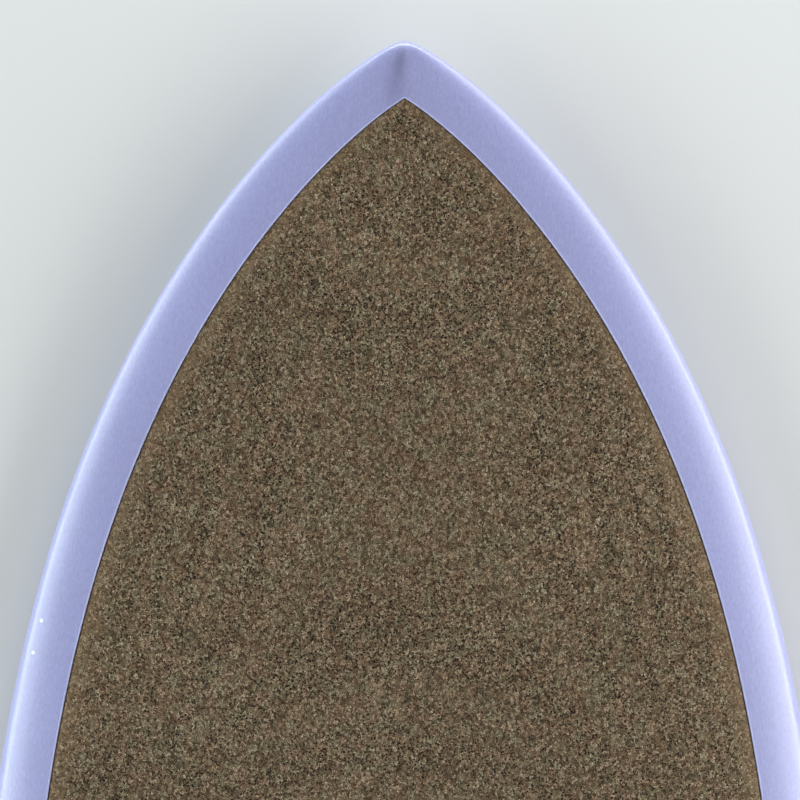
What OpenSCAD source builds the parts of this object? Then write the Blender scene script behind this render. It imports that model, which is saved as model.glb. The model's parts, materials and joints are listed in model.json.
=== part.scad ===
// Surfboard: foam blank on a wooden stringer, wrapped in a pigmented laminate skin, with a cork
// deck let into its top, three removable fins in screw-clamped boxes, a leash plug and an air vent.
// Board axes: x from the tail (0) to the nose, y to the left, z up from the lowest point of the
// bottom. The finished board is then pitched nose-down until it rests on its fins and its belly.

/* [Board] */
// Length from tail to nose
board_length = 1778; // [1600:1:2100]
// Width at the widest point
board_width = 490; // [440:1:590]
// Thickness at the thickest point
board_thickness = 62; // [52:1:76]
// Distance from the nose back to the widest point
wide_point_from_nose = 840; // [700:1:1000]
// Height of the nose above the lowest point of the bottom
nose_rocker = 118; // [80:1:145]
// Height of the tail above the lowest point of the bottom
tail_rocker = 54; // [30:1:75]
// Distance from the tail forward to the lowest point of the bottom
low_point_from_tail = 790; // [650:1:950]
// Width of the squash tail where its flanks would meet its end
tail_end_width = 160; // [130:1:220]
// Radius of the two corners of the tail
tail_corner_r = 40; // [32:1:60]

/* [Section] */
// Thickness left at the nose tip
nose_tip_thickness = 9; // [7:0.5:14]
// Thickness left at the tail end
tail_end_thickness = 12; // [9:0.5:16]
// Height of the rail's widest line as a share of the thickness
rail_line = 0.4; // [0.35:0.01:0.5]
// How boxy the deck's crown is
deck_fullness = 3; // [2.6:0.1:4]
// How flat the bottom stays before it tucks up to the rail
bottom_flatness = 6; // [4:0.5:8]

/* [Skins] */
// Width of the laminate band between the rail and the cork
cork_inset = 29; // [24:0.5:40]
// Thickness of the cork sheet
cork_thickness = 3; // [2:0.1:5]
// How far the cork lies below the band around it
cork_recess = 0.4; // [0.2:0.1:1]
// Thickness of the laminate under the cork
deck_skin_thickness = 0.9; // [0.6:0.1:1.5]
// Thickness of the laminate on the bottom and rails
hull_skin_thickness = 1; // [0.8:0.1:2]
// Bond line between two layers
bond_gap = 0.1; // [0.08:0.01:0.15]
// Thickness of the wooden stringer
stringer_thickness = 6; // [4:0.5:8]

/* [Fins] */
// Length of a fin's base
fin_base = 111; // [104:0.5:120]
// Depth of a side fin
side_fin_depth = 115; // [100:0.5:125]
// Depth of the centre fin
center_fin_depth = 112; // [100:0.5:125]
// Thickness of a fin at its base
fin_thickness = 6.6; // [6:0.1:8]
// Distance from the tail to the back of the side fins' bases
side_fin_from_tail = 280; // [250:1:320]
// Distance from the tail to the back of the centre fin's base
center_fin_from_tail = 89; // [86:1:110]
// Distance from the rail to the middle of a side fin's base
side_fin_from_rail = 36; // [34:1:60]
// Outward lean of the side fins from upright in degrees
side_fin_cant = 6; // [0:0.5:8]
// Inward aim of the side fins in degrees
side_fin_toe = 2.5; // [0:0.5:4]

/* [Fin boxes] */
// Length of each of a fin's two tabs
tab_length = 26; // [22:0.5:30]
// Depth of a tab
tab_depth = 12; // [11.5:0.5:13]
// Clearance around a tab in its pocket
tab_clearance = 0.2; // [0.15:0.05:0.4]
// Wall of a box at the tabs' ends
box_end_wall = 5; // [4:0.5:8]
// Wall of a box beside its grub screws
box_side_wall = 2.1; // [2:0.1:4]
// Floor of a box under the tabs
box_floor = 3; // [2:0.5:4]
// Width of a box at its waist
box_waist_width = 16; // [14:0.5:20]
// Diameter of a fin's grub screw
grub_d = 5; // [4:0.5:6]
// Length of a grub screw
grub_length = 8; // [6:0.5:8.5]
// Lean of the grub screws away from the slot in degrees
grub_lean = 35; // [30:1:40]
// Width across the flats of a grub screw's hexagon socket
grub_socket = 2.5; // [2:0.5:3]

/* [Leash plug] */
// Cork left between the tail's laminate and the plug's flange
leash_shore = 7; // [5:0.5:20]
// Diameter of the plug's cup
leash_cup_d = 22; // [20:0.5:24]
// Wall of the plug's barrel around the cup
leash_wall = 3; // [2.5:0.5:4]
// How far the plug's flange reaches past its barrel
leash_lip = 2; // [1.5:0.5:3]
// Depth of the plug's cup
leash_cup_depth = 14; // [13:0.5:14.5]
// Thickness of the cup's floor
leash_floor = 1.6; // [1.2:0.1:2]
// Diameter of the steel bar across the cup
leash_bar_d = 3; // [2.5:0.1:4]
// Depth of the bar's middle below the rim
leash_bar_depth = 5.5; // [5:0.5:7]

/* [Vent] */
// Distance from the tail to the vent
vent_from_tail = 262; // [240:1:600]
// Distance of the vent from the centre line
vent_offset = 28; // [22:1:60]
// Diameter of the vent screw's thread
vent_thread_d = 8; // [7:0.5:10]
// Length of the vent screw's thread
vent_thread_length = 7; // [5:0.5:9]
// Diameter of the seal ring's section
vent_ring_d = 1.4; // [1.2:0.1:2]
// Wall of the vent's barrel around the screw's head
vent_wall = 1.4; // [1.2:0.1:2.5]
// How far the vent's flange reaches past its barrel
vent_lip = 3; // [2:0.5:5]

/* [Hidden] */
SIDES = ["left", "right", "center"];
ENDS = ["front", "rear"];

$fn = 48;
OUTSIDE = -1000;           // half-width reported beyond either end of the outline
running_gap = 0.05;        // radial clearance of a screw in its thread
cut_gap = 0.1;             // clearance around a part let into foam or laminate
edge_gap = 0.15;           // clearance between the cork's edge and the band
over = 10;                 // how far a cutter reaches past the surface that it opens
halvings = 30;             // steps of each search by halving

// ---------------------------------------------------------------- outline
nose_fullness = 3.54;      // powers of the nose's curve
nose_roundness = 0.805;
tail_fullness = 2.2;       // powers of the tail's curve
tail_roundness = 0.85;
nose_flat = 1.5;           // half-width of the blunt end at the very nose
tail_run = board_length - wide_point_from_nose;

function spread(share, fullness, roundness) =
    pow(1 - pow(1 - min(max(share, 0), 1), fullness), roundness);
function corner_cut(s) =
    s >= tail_corner_r ? 0 : tail_corner_r - sqrt(pow(tail_corner_r, 2) - pow(tail_corner_r - s, 2));
function nose_half(n) =
    nose_flat + (board_width / 2 - nose_flat)
    * spread(n / wide_point_from_nose, nose_fullness, nose_roundness);
function tail_half(s) =
    tail_end_width / 2
    + (board_width - tail_end_width) / 2 * spread(s / tail_run, tail_fullness, tail_roundness)
    - corner_cut(s);
function half_width(x) =
    x < 0 || x > board_length ? OUTSIDE
    : x > tail_run ? nose_half(board_length - x) : tail_half(x);

// Half-width of the outline drawn in by d on every side
inset_steps = 60;
function inset_half(x, d) =
    min([for (k = [0:inset_steps]) let (a = -90 + 180 * k / inset_steps)
        half_width(x + d * sin(a)) - d * cos(a)]);

// Where the cork ends near the nose: its two edges are then 2 * nose_flat apart
function cork_nose(low, high, n) =
    n == 0 ? low
    : let (mid = (low + high) / 2)
      inset_half(mid, cork_inset) > nose_flat ? cork_nose(mid, high, n - 1)
      : cork_nose(low, mid, n - 1);
cork_front = cork_nose(tail_run, board_length - cork_inset, halvings);
cork_back = cork_inset;

// ---------------------------------------------------------------- long profile
nose_lift = 2.4;           // power of the nose's rocker
tail_lift = 2.2;           // power of the tail's rocker
nose_taper = [1.9, 0.9];   // powers of the thickness towards the nose
tail_taper = [2.6, 0.85];  // powers of the thickness towards the tail
end_round = 6;             // length over which each end is rounded in side view
end_flat = 0.4;            // share of the thickness left at the very end

function bottom_line(x) =
    x > low_point_from_tail
    ? nose_rocker * pow((x - low_point_from_tail) / (board_length - low_point_from_tail), nose_lift)
    : tail_rocker * pow((low_point_from_tail - x) / low_point_from_tail, tail_lift);
function taper(share, powers) = pow(max(1 - pow(share, powers[0]), 0), powers[1]);
function full_thickness(x) =
    x > tail_run
    ? nose_tip_thickness + (board_thickness - nose_tip_thickness)
      * taper((x - tail_run) / wide_point_from_nose, nose_taper)
    : tail_end_thickness + (board_thickness - tail_end_thickness)
      * taper((tail_run - x) / tail_run, tail_taper);
function end_rounding(x) =
    let (e = min(x, board_length - x, end_round) / end_round)
    end_flat + (1 - end_flat) * sqrt(1 - pow(1 - e, 2));
function thickness(x) = full_thickness(x) * end_rounding(x);
function bottom_z(x) = bottom_line(x) + rail_line * (full_thickness(x) - thickness(x));
function rail_z(x) = bottom_z(x) + rail_line * thickness(x);

// Height of the deck and of the bottom at any point of the outline
function deck_at(x, y) =
    rail_z(x) + (1 - rail_line) * thickness(x)
    * sqrt(max(1 - pow(min(abs(y) / half_width(x), 1), deck_fullness), 0));
function bottom_at(x, y) =
    rail_z(x) - rail_line * thickness(x)
    * sqrt(max(1 - pow(min(abs(y) / half_width(x), 1), bottom_flatness), 0));

// ---------------------------------------------------------------- stations and columns
tail_rows = 6;             // stations behind the cork
cork_rows = 38;            // steps along the cork
nose_rows = 7;             // stations ahead of the cork
deck_cols = 6;             // columns from the centre line to the cork's edge
band_cols = 5;             // columns from there to the rail's widest line
belly_cols = 10;           // columns from there to the keel line

end_ease = 1.6;            // how closely the end stations crowd towards the ends
cork_span = cork_front - cork_back;
function cork_row(k) = cork_back + cork_span * (1 - cos(180 * k / cork_rows)) / 2;
rows = concat(
    [for (k = [0:tail_rows - 1]) cork_back * pow(k / tail_rows, end_ease)],
    [for (k = [0:cork_rows]) cork_row(k)],
    [for (k = [nose_rows - 1:-1:0])
        board_length - (board_length - cork_front) * pow(k / nose_rows, end_ease)]);
last_row = len(rows) - 1;
first_cork_row = tail_rows;
last_cork_row = tail_rows + cork_rows;
first_core_row = 2;            // the laminate is solid behind this station
last_core_row = last_row - 3;  // and ahead of this one

// Half-width of the column that runs along the cork's edge
tail_edge_share = inset_half(cork_back, cork_inset) / half_width(cork_back);
nose_edge_share = nose_flat / half_width(cork_front);
tip_edge_share = 0.4;
function cork_edge(x) =
    x < cork_back ? tail_edge_share * half_width(x)
    : x < cork_front ? inset_half(x, cork_inset)
    : let (s = (x - cork_front) / (board_length - cork_front))
      (nose_edge_share + (tip_edge_share - nose_edge_share) * s) * half_width(x);

half_cols = deck_cols + band_cols + belly_cols;
column_spread = 75;        // the deck's columns crowd towards the cork's edge like a sine to here
function column_share(j) = sin(column_spread * j / deck_cols) / sin(column_spread);
ring_size = 2 * half_cols;
belly_span = 2 * (half_cols - deck_cols);   // ring steps from one cork edge round to the other

// One side of a station, from the deck's middle over the rail to the keel. The columns start at
// y = inner, which is 0 for the whole board and the stringer's flank for one half of the blank.
function column_y(x, j) =
    let (w = half_width(x), edge = cork_edge(x), lean = asin(edge / w))
    j <= deck_cols ? edge * column_share(j)
    : j <= deck_cols + band_cols ? w * sin(lean + (90 - lean) * (j - deck_cols) / band_cols)
    : w * sin(90 * (half_cols - j) / belly_cols);
function side_point(x, j, inner) =
    let (y = inner + column_y(x, j) * (1 - inner / half_width(x)))
    [y, j <= deck_cols + band_cols ? deck_at(x, y) : bottom_at(x, y)];

// Depth of an inner layer under the outer surface at column j
function layer_depth(j, deck_depth, hull_depth) =
    j <= deck_cols ? deck_depth
    : j >= deck_cols + band_cols ? hull_depth
    : let (s = (j - deck_cols) / band_cols) deck_depth + (hull_depth - deck_depth) * s * (2 - s);

// Direction into the board at column j: straight down under the deck, else square to the surface
function inward(points, j) =
    j <= deck_cols ? [0, -1]
    : j == half_cols ? [0, 1]
    : let (t = points[j + 1] - points[j - 1]) [t[1], -t[0]] / norm(t);

function side_points(x, deck_depth, hull_depth, inner) =
    let (outer = [for (j = [0:half_cols]) side_point(x, j, inner)])
    [for (j = [0:half_cols])
        outer[j] + inward(outer, j) * layer_depth(j, deck_depth, hull_depth)];

// A whole station as a closed ring. It starts at the left cork edge and runs round the bottom to
// the right cork edge at ring place belly_span, then back across the deck.
function ring(x, at, deck_depth, hull_depth) =
    let (side = side_points(x, deck_depth, hull_depth, 0))
    concat(
        [for (j = [deck_cols:half_cols]) [at, side[j][0], side[j][1]]],
        [for (j = [half_cols - 1:-1:0]) [at, -side[j][0], side[j][1]]],
        [for (j = [1:deck_cols - 1]) [at, side[j][0], side[j][1]]]);

function flat(lists) = [for (l = lists) each l];
function quad(a, b, c, d) = [[a, b, c], [a, c, d]];
function fan(start, size, reversed) =
    [for (k = [1:size - 2])
        reversed ? [start, start + k, start + k + 1] : [start, start + k + 1, start + k]];
function place(i, r, size) = i * size + r % size;
function cell(i, r, size, base, reversed) =
    let (a = base + place(i, r, size), b = base + place(i, r + 1, size),
        c = base + place(i + 1, r + 1, size), d = base + place(i + 1, r, size))
    reversed ? quad(d, c, b, a) : quad(a, b, c, d);

// Closed solid over a stack of rings that all have the same number of points
module lofted(rings, size) {
    count = len(rings) - 1;
    polyhedron(flat(rings), concat(
        fan(0, size, false),
        flat([for (i = [0:count - 1], r = [0:size - 1]) cell(i, r, size, 0, false)]),
        fan(count * size, size, true)));
}

// Places of the stations between two of them, with both ends drawn in by a gap
function stations(from, to, end_gap) =
    [for (i = [from:to]) rows[i] + (i == from ? end_gap : i == to ? -end_gap : 0)];

// Closed solid of the whole board, drawn in by the two depths, between two stations
module hull_solid(deck_depth, hull_depth, from, to, end_gap) {
    at = stations(from, to, end_gap);
    lofted([for (i = [from:to]) ring(rows[i], at[i - from], deck_depth, hull_depth)], ring_size);
}

// Closed solid of the board's left half, from the plane y = inner outwards
module hull_half(deck_depth, hull_depth, from, to, end_gap, inner) {
    at = stations(from, to, end_gap);
    lofted([for (i = [from:to])
        [for (p = side_points(rows[i], deck_depth, hull_depth, inner)) [at[i - from], p[0], p[1]]]],
        half_cols + 1);
}

// First and last stations of a slice that reaches past x on both sides by half a length
slice_margin = 4;
function slice_from(x, half) =
    max([for (i = [0:last_row]) if (i == 0 || rows[i] < x - half - slice_margin) i]);
function slice_to(x, half) =
    min([for (i = [0:last_row]) if (i == last_row || rows[i] > x + half + slice_margin) i]);

module outer_slice(x, half) {
    hull_solid(0, 0, slice_from(x, half), slice_to(x, half), 0);
}

// Depths of the layers below the band's surface
deck_skin_top = cork_recess + cork_thickness + bond_gap;
deck_skin_floor = deck_skin_top + deck_skin_thickness;
foam_top = deck_skin_floor + bond_gap;
foam_side = hull_skin_thickness + bond_gap;

module foam_slice(x, half) {
    hull_solid(foam_top, foam_side, max(slice_from(x, half), first_core_row), slice_to(x, half), 0);
}

// Laminate of bottom, rails and band: the outer and inner surfaces, joined round the cork's opening
module hull_shell() {
    inner = (last_row + 1) * ring_size;
    points = concat(
        flat([for (x = rows) ring(x, x, 0, 0)]),
        flat([for (x = rows) ring(x, x, deck_skin_floor, hull_skin_thickness)]));
    open_rows = [first_cork_row:last_cork_row - 1];
    function at(i, r) = place(i, r, ring_size);
    function is_open(i, r) =
        i >= first_cork_row && i < last_cork_row && r >= belly_span;
    polyhedron(points, concat(
        fan(0, ring_size, false),
        flat([for (i = [0:last_row - 1], r = [0:ring_size - 1])
            if (!is_open(i, r)) cell(i, r, ring_size, 0, false)]),
        fan(last_row * ring_size, ring_size, true),
        fan(inner + at(first_core_row, 0), ring_size, true),
        flat([for (i = [first_core_row:last_core_row - 1], r = [0:ring_size - 1])
            if (!is_open(i, r)) cell(i, r, ring_size, inner, true)]),
        fan(inner + at(last_core_row, 0), ring_size, false),
        flat([for (i = open_rows)
            quad(at(i + 1, 0), inner + at(i + 1, 0), inner + at(i, 0), at(i, 0))]),
        flat([for (i = open_rows)
            quad(at(i, belly_span), inner + at(i, belly_span),
                inner + at(i + 1, belly_span), at(i + 1, belly_span))]),
        flat([for (r = [belly_span:ring_size - 1], i = [first_cork_row])
            quad(at(i, r + 1), inner + at(i, r + 1), inner + at(i, r), at(i, r))]),
        flat([for (r = [belly_span:ring_size - 1], i = [last_cork_row])
            quad(at(i, r), inner + at(i, r), inner + at(i, r + 1), at(i, r + 1))])));
}

// Sheet that fills the opening in the deck between two depths
module deck_sheet(top_depth, floor_depth) {
    across = 2 * deck_cols + 1;
    sheet_rows = [for (i = [first_cork_row:last_cork_row]) rows[i]];
    count = len(sheet_rows);
    function at(i) =
        sheet_rows[i] + (i == 0 ? edge_gap : i == count - 1 ? -edge_gap : 0);
    function line(i, depth) =
        let (x = at(i), edge = cork_edge(sheet_rows[i]) - edge_gap)
        [for (k = [-deck_cols:deck_cols]) let (y = edge * column_share(k))
            [x, y, deck_at(x, y) - depth]];
    points = concat(
        flat([for (i = [0:count - 1]) line(i, top_depth)]),
        flat([for (i = [0:count - 1]) line(i, floor_depth)]));
    low = count * across;
    far = (count - 1) * across;
    polyhedron(points, concat(
        flat([for (i = [0:count - 2], k = [0:across - 2]) let (a = i * across + k)
            quad(a, a + 1, a + across + 1, a + across)]),
        flat([for (i = [0:count - 2], k = [0:across - 2]) let (a = low + i * across + k)
            quad(a + across, a + across + 1, a + 1, a)]),
        flat([for (i = [0:count - 2]) let (a = i * across)
            quad(a, a + across, low + a + across, low + a)]),
        flat([for (i = [0:count - 2]) let (a = i * across + across - 1)
            quad(low + a, low + a + across, a + across, a)]),
        flat([for (k = [0:across - 2]) quad(low + k, low + k + 1, k + 1, k)]),
        flat([for (k = [0:across - 2])
            quad(far + k, far + k + 1, low + far + k + 1, low + far + k)])));
}

// ---------------------------------------------------------------- places of fins and plugs
slope_step = 0.5;
function rise_along(x, y) =
    (bottom_at(x + slope_step, y) - bottom_at(x - slope_step, y)) / (2 * slope_step);
function rise_across(x, y) =
    (bottom_at(x, y + slope_step) - bottom_at(x, y - slope_step)) / (2 * slope_step);
function deck_along(x, y) =
    (deck_at(x + slope_step, y) - deck_at(x - slope_step, y)) / (2 * slope_step);
function deck_across(x, y) =
    (deck_at(x, y + slope_step) - deck_at(x, y - slope_step)) / (2 * slope_step);

function side_sign(side) = side == "left" ? 1 : side == "right" ? -1 : 0;
function fin_middle_x(side) =
    (side == "center" ? center_fin_from_tail : side_fin_from_tail) + fin_base / 2;
function fin_middle_y(side) =
    side_sign(side) * (half_width(fin_middle_x(side)) - side_fin_from_rail);
function fin_depth(side) = side == "center" ? center_fin_depth : side_fin_depth;
function fin_cant(side) = side_sign(side) * side_fin_cant - fin_turn(side)[0];
function fin_place(side) =
    let (x = fin_middle_x(side), y = fin_middle_y(side)) [x, y, bottom_at(x, y)];
function fin_turn(side) =
    let (x = fin_middle_x(side), y = fin_middle_y(side))
    [atan(rise_across(x, y)), -atan(rise_along(x, y)), -side_sign(side) * side_fin_toe];

// Frame on the bottom at a fin: x forward along its base, z into the board
module at_fin(side) {
    translate(fin_place(side)) rotate(fin_turn(side)) children();
}

function plug_turn(x, y) = [atan(deck_across(x, y)), -atan(deck_along(x, y)), 0];

// Frame on the cork's surface at a plug: z out of the deck
module at_plug(x, y) {
    translate([x, y, deck_at(x, y) - cork_recess]) rotate(plug_turn(x, y)) children();
}

module at_leash() {
    at_plug(leash_x, 0) children();
}

module at_vent() {
    at_plug(vent_from_tail, vent_offset) children();
}

// ---------------------------------------------------------------- fin shape
fin_rake = 70;             // how far the fin's middle sweeps back at its tip
fin_sweep_power = 2.2;
fin_outline = [1.4, 0.8];  // powers of the chord towards the tip
fin_levels = 12;           // sections from base to tip
fin_sides = 9;             // points along each face of a section
fin_lift = 0.3;            // gap between the fin's base and the board
fin_thinning = 0.6;        // power of the thickness as the chord shrinks
fin_edge = 0.08;           // share of the thickness left at the fin's edges
foil_front = 0.7;          // power that moves the thickest place forward
tip_share = 0.995;         // the fin ends here, where its chord is a few millimetres
tab_step = 0.3;            // how far a tab's flank stands in from the blade's
tab_shy = 0.5;             // how far a tab stands in from the end of the base
tab_root = 1;              // how far a tab reaches into the blade
tab_thickness = fin_thickness - 2 * tab_step;
tab_spacing = fin_base - tab_length - 2 * tab_shy;

function fin_heights(depth) =
    [for (k = [0:fin_levels]) depth * tip_share * sin(90 * k / fin_levels)];
function fin_chord(h, depth) = fin_base * taper(h / depth, fin_outline);
function fin_mid(h, depth) = -fin_rake * pow(h / depth, fin_sweep_power);
function foil(u) = sin(180 * pow(u, foil_front));

// Closed ring of a fin's section at height h, along its outer face and back along its inner face
function fin_section(h, depth) =
    let (chord = fin_chord(h, depth), mid = fin_mid(h, depth),
        half = fin_thickness / 2 * pow(chord / fin_base, fin_thinning),
        blunt = half * fin_edge)
    concat(
        [for (k = [0:fin_sides]) let (u = k / fin_sides)
            [mid + chord * (0.5 - u), half * foil(u) + blunt, -h - fin_lift]],
        [for (k = [fin_sides:-1:0]) let (u = k / fin_sides)
            [mid + chord * (0.5 - u), -half * foil(u) - blunt, -h - fin_lift]]);

module fin_blade(depth) {
    size = 2 * (fin_sides + 1);
    tip = fin_levels * size;
    heights = fin_heights(depth);
    points = flat([for (h = heights) fin_section(h, depth)]);
    polyhedron(points, concat(
        [for (k = [1:size - 2]) [0, k + 1, k]],
        flat([for (i = [0:fin_levels - 1], k = [0:size - 1])
            let (a = i * size + k, b = i * size + (k + 1) % size)
            quad(a, b, b + size, a + size)]),
        [for (k = [1:size - 2]) [tip, tip + k, tip + k + 1]]));
}

// The two tabs from z = low down to their full depth, grown by a clearance
module fin_tabs(low, grow) {
    for (s = [-1, 1])
        translate([s * tab_spacing / 2 - tab_length / 2 - grow, -tab_thickness / 2 - grow, low])
            cube([tab_length + 2 * grow, tab_thickness + 2 * grow, tab_depth + grow - low]);
}

module fin(side) {
    color("lightcyan") lay_down() at_fin(side) rotate([fin_cant(side), 0, 0]) {
        fin_blade(fin_depth(side));
        fin_tabs(-fin_lift - tab_root, 0);
    }
}

// ---------------------------------------------------------------- how the board lies
// Turns a point by the same angles as rotate(turn)
function turned(p, turn) =
    let (a = [p[0], p[1] * cos(turn[0]) - p[2] * sin(turn[0]),
            p[1] * sin(turn[0]) + p[2] * cos(turn[0])],
        b = [a[0] * cos(turn[1]) + a[2] * sin(turn[1]), a[1],
            a[2] * cos(turn[1]) - a[0] * sin(turn[1])])
    [b[0] * cos(turn[2]) - b[1] * sin(turn[2]), b[0] * sin(turn[2]) + b[1] * cos(turn[2]), b[2]];

function height_when_pitched(x, z, pitch) = z * cos(pitch) - x * sin(pitch);
keel_points = [for (x = rows) [x, bottom_z(x)]];
fin_points = [for (h = fin_heights(side_fin_depth), p = fin_section(h, side_fin_depth))
    fin_place("left") + turned(turned(p, [fin_cant("left"), 0, 0]), fin_turn("left"))];
function keel_low(pitch) = min([for (p = keel_points) height_when_pitched(p[0], p[1], pitch)]);
function fin_low(pitch) = min([for (p = fin_points) height_when_pitched(p[0], p[2], pitch)]);
// Pitch at which the belly comes down level with the side fins' tips
function resting_pitch(low, high, n) =
    let (mid = (low + high) / 2)
    n == 0 ? mid
    : keel_low(mid) > fin_low(mid) ? resting_pitch(mid, high, n - 1)
    : resting_pitch(low, mid, n - 1);
steepest = 20;             // pitch above any at which the board could rest
pitch = resting_pitch(0, steepest, halvings);

function length_when_pitched(x, z) = x * cos(pitch) + z * sin(pitch);
nose_reach = max([for (x = rows) length_when_pitched(x, rail_z(x))]);
tail_reach = min([for (x = rows) length_when_pitched(x, bottom_z(x))]);
origin_shift = [-(nose_reach + tail_reach) / 2, 0, -fin_low(pitch)];

// Board axes to resting axes
module lay_down() {
    translate(origin_shift) rotate([0, pitch, 0]) children();
}

// ---------------------------------------------------------------- fin boxes
// Grub screws: each leans out from the slot, its tip stops just short of the tab's flank, and its
// other end lies just under the surface
grub_r = grub_d / 2;
grub_sunk = 0.5;
grub_tip_y = tab_thickness / 2 + tab_clearance + grub_r * cos(grub_lean);
grub_tip_z = grub_length * cos(grub_lean) + grub_r * sin(grub_lean) + grub_sunk;
grub_socket_depth = 3;

box_depth = tab_depth + box_floor;
box_length = tab_spacing + tab_length + 2 * box_end_wall;
lobe_r = grub_tip_y + grub_length * sin(grub_lean) + grub_r * cos(grub_lean) + box_side_wall;
lobe_run = max(tab_length + 2 * box_end_wall - 2 * lobe_r, 0);   // straight stretch of a lobe

// Dog-bone body of a box, from z = low to z = high, grown by a clearance
module box_body(low, high, grow) {
    for (s = [-1, 1]) {
        for (e = [-1, 1])
            translate([s * tab_spacing / 2 + e * lobe_run / 2, 0, low])
                cylinder(r = lobe_r + grow, h = high - low);
        translate([s * tab_spacing / 2 - lobe_run / 2, -lobe_r - grow, low])
            cube([lobe_run, 2 * (lobe_r + grow), high - low]);
    }
    translate([-tab_spacing / 2, -box_waist_width / 2 - grow, low])
        cube([tab_spacing, box_waist_width + 2 * grow, high - low]);
}

function screw_side(side) = side == "right" ? -1 : 1;
function screw_x(end) = (end == "front" ? 1 : -1) * tab_spacing / 2;

// Frame at a grub screw's tip: z points out of the board along the screw
module at_screw(side, end) {
    at_fin(side) rotate([fin_cant(side), 0, 0])
        translate([screw_x(end), screw_side(side) * grub_tip_y, grub_tip_z])
            rotate([180 + screw_side(side) * grub_lean, 0, 0])
                children();
}

module fin_box(side) {
    color("whitesmoke") lay_down() difference() {
        intersection() {
            at_fin(side) box_body(-over, box_depth, 0);
            outer_slice(fin_middle_x(side), box_length / 2);
        }
        at_fin(side) rotate([fin_cant(side), 0, 0]) fin_tabs(-over, tab_clearance);
        for (end = ENDS)
            at_screw(side, end) translate([0, 0, -running_gap])
                cylinder(d = grub_d + 2 * running_gap, h = grub_length + over);
    }
}

module fin_screw(side, end) {
    color("dimgray") lay_down() at_screw(side, end) difference() {
        cylinder(d = grub_d, h = grub_length);
        translate([0, 0, grub_length - grub_socket_depth])
            cylinder(d = grub_socket / cos(30), h = grub_socket_depth + over, $fn = 6);
    }
}

// ---------------------------------------------------------------- dense foam under the boxes
block_margin = 7;          // block ahead of and behind its box
block_side = 12;           // beside its box
block_under = 5;           // and above it
block_length = box_length + 2 * block_margin;
block_width = 2 * (lobe_r + block_side);
block_depth = box_depth + block_under;

module block_space(side, grow) {
    at_fin(side) translate([-block_length / 2 - grow, -block_width / 2 - grow, -over])
        cube([block_length + 2 * grow, block_width + 2 * grow, block_depth + over + grow]);
}

module fin_block(side) {
    color("khaki") lay_down() difference() {
        intersection() {
            foam_slice(fin_middle_x(side), block_length / 2);
            block_space(side, 0);
        }
        at_fin(side) box_body(-over, box_depth + cut_gap, cut_gap);
        if (side == "center") plug_pocket();
    }
}

// ---------------------------------------------------------------- leash plug
leash_barrel_d = leash_cup_d + 2 * leash_wall;
leash_flange_d = leash_barrel_d + 2 * leash_lip;
leash_block_r = leash_barrel_d / 2 + 6;
leash_flange_t = deck_skin_top - cork_recess - bond_gap / 2;
leash_depth = leash_cup_depth + leash_floor;
leash_bar_shy = 0.5;       // how far the bar's ends stop short of the barrel's side
leash_bed = 4;             // foam left under the plug

// The plug lies as far back as the tail's laminate and the depth of its cup allow
function plug_room(x) = thickness(x) - cork_recess - hull_skin_thickness - leash_bed;
function deep_enough(low, high, n) =
    n == 0 ? high
    : let (mid = (low + high) / 2)
      plug_room(mid) < leash_depth ? deep_enough(mid, high, n - 1) : deep_enough(low, mid, n - 1);
leash_x = max(cork_back + leash_flange_d / 2 + leash_shore,
    deep_enough(cork_back, tail_run, halvings));

module leash_cup() {
    color("black") lay_down() at_leash() difference() {
        union() {
            translate([0, 0, -leash_flange_t]) cylinder(d = leash_flange_d, h = leash_flange_t);
            translate([0, 0, -leash_depth]) cylinder(d = leash_barrel_d, h = leash_depth);
        }
        translate([0, 0, -leash_cup_depth]) cylinder(d = leash_cup_d, h = leash_cup_depth + over);
        leash_bar_run(over);
    }
}

module leash_bar_run(past) {
    translate([0, leash_barrel_d / 2 + past, -leash_bar_depth]) rotate([90, 0, 0])
        cylinder(d = leash_bar_d, h = leash_barrel_d + 2 * past);
}

module leash_bar() {
    color("silver") lay_down() at_leash() leash_bar_run(-leash_bar_shy);
}

// Round space at a plug, from a depth below the cork's surface up through it
module plug_space(r, depth) {
    translate([0, 0, -depth]) cylinder(r = r, h = depth + over);
}

module plug_pocket() {
    at_leash() plug_space(leash_barrel_d / 2 + cut_gap, leash_depth + cut_gap);
}

module leash_block() {
    color("khaki") lay_down() difference() {
        intersection() {
            foam_slice(leash_x, leash_block_r);
            at_leash() plug_space(leash_block_r, board_thickness);
        }
        plug_pocket();
        block_space("center", cut_gap);
    }
}

// ---------------------------------------------------------------- air vent
ring_r = vent_ring_d / 2;
ring_fit = 0.2;            // between the seal ring and the thread
head_lip = 0.6;            // how far the screw's head reaches past the ring
vent_head_t = 1.8;
vent_head_sink = 0.4;
vent_head_r = vent_thread_d / 2 + ring_fit + vent_ring_d + head_lip;
vent_head_under = vent_head_sink + vent_head_t;
vent_well_r = vent_head_r + 0.4;
vent_well_depth = vent_head_under + vent_ring_d;
vent_barrel_r = vent_well_r + vent_wall;
vent_flange_t = leash_flange_t;
vent_room = 3.3;           // air space between the screw and the membrane
vent_shelf = vent_head_under + vent_thread_length + vent_room;
vent_floor = 3.5;
vent_depth = vent_shelf + vent_floor;
vent_hole_d = 3;           // hole through the floor into the foam
bleed_d = 2;               // hole along the screw
slot_width = 1.4;          // coin slot in the head
slot_depth = 1;
membrane_t = 0.3;

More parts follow.
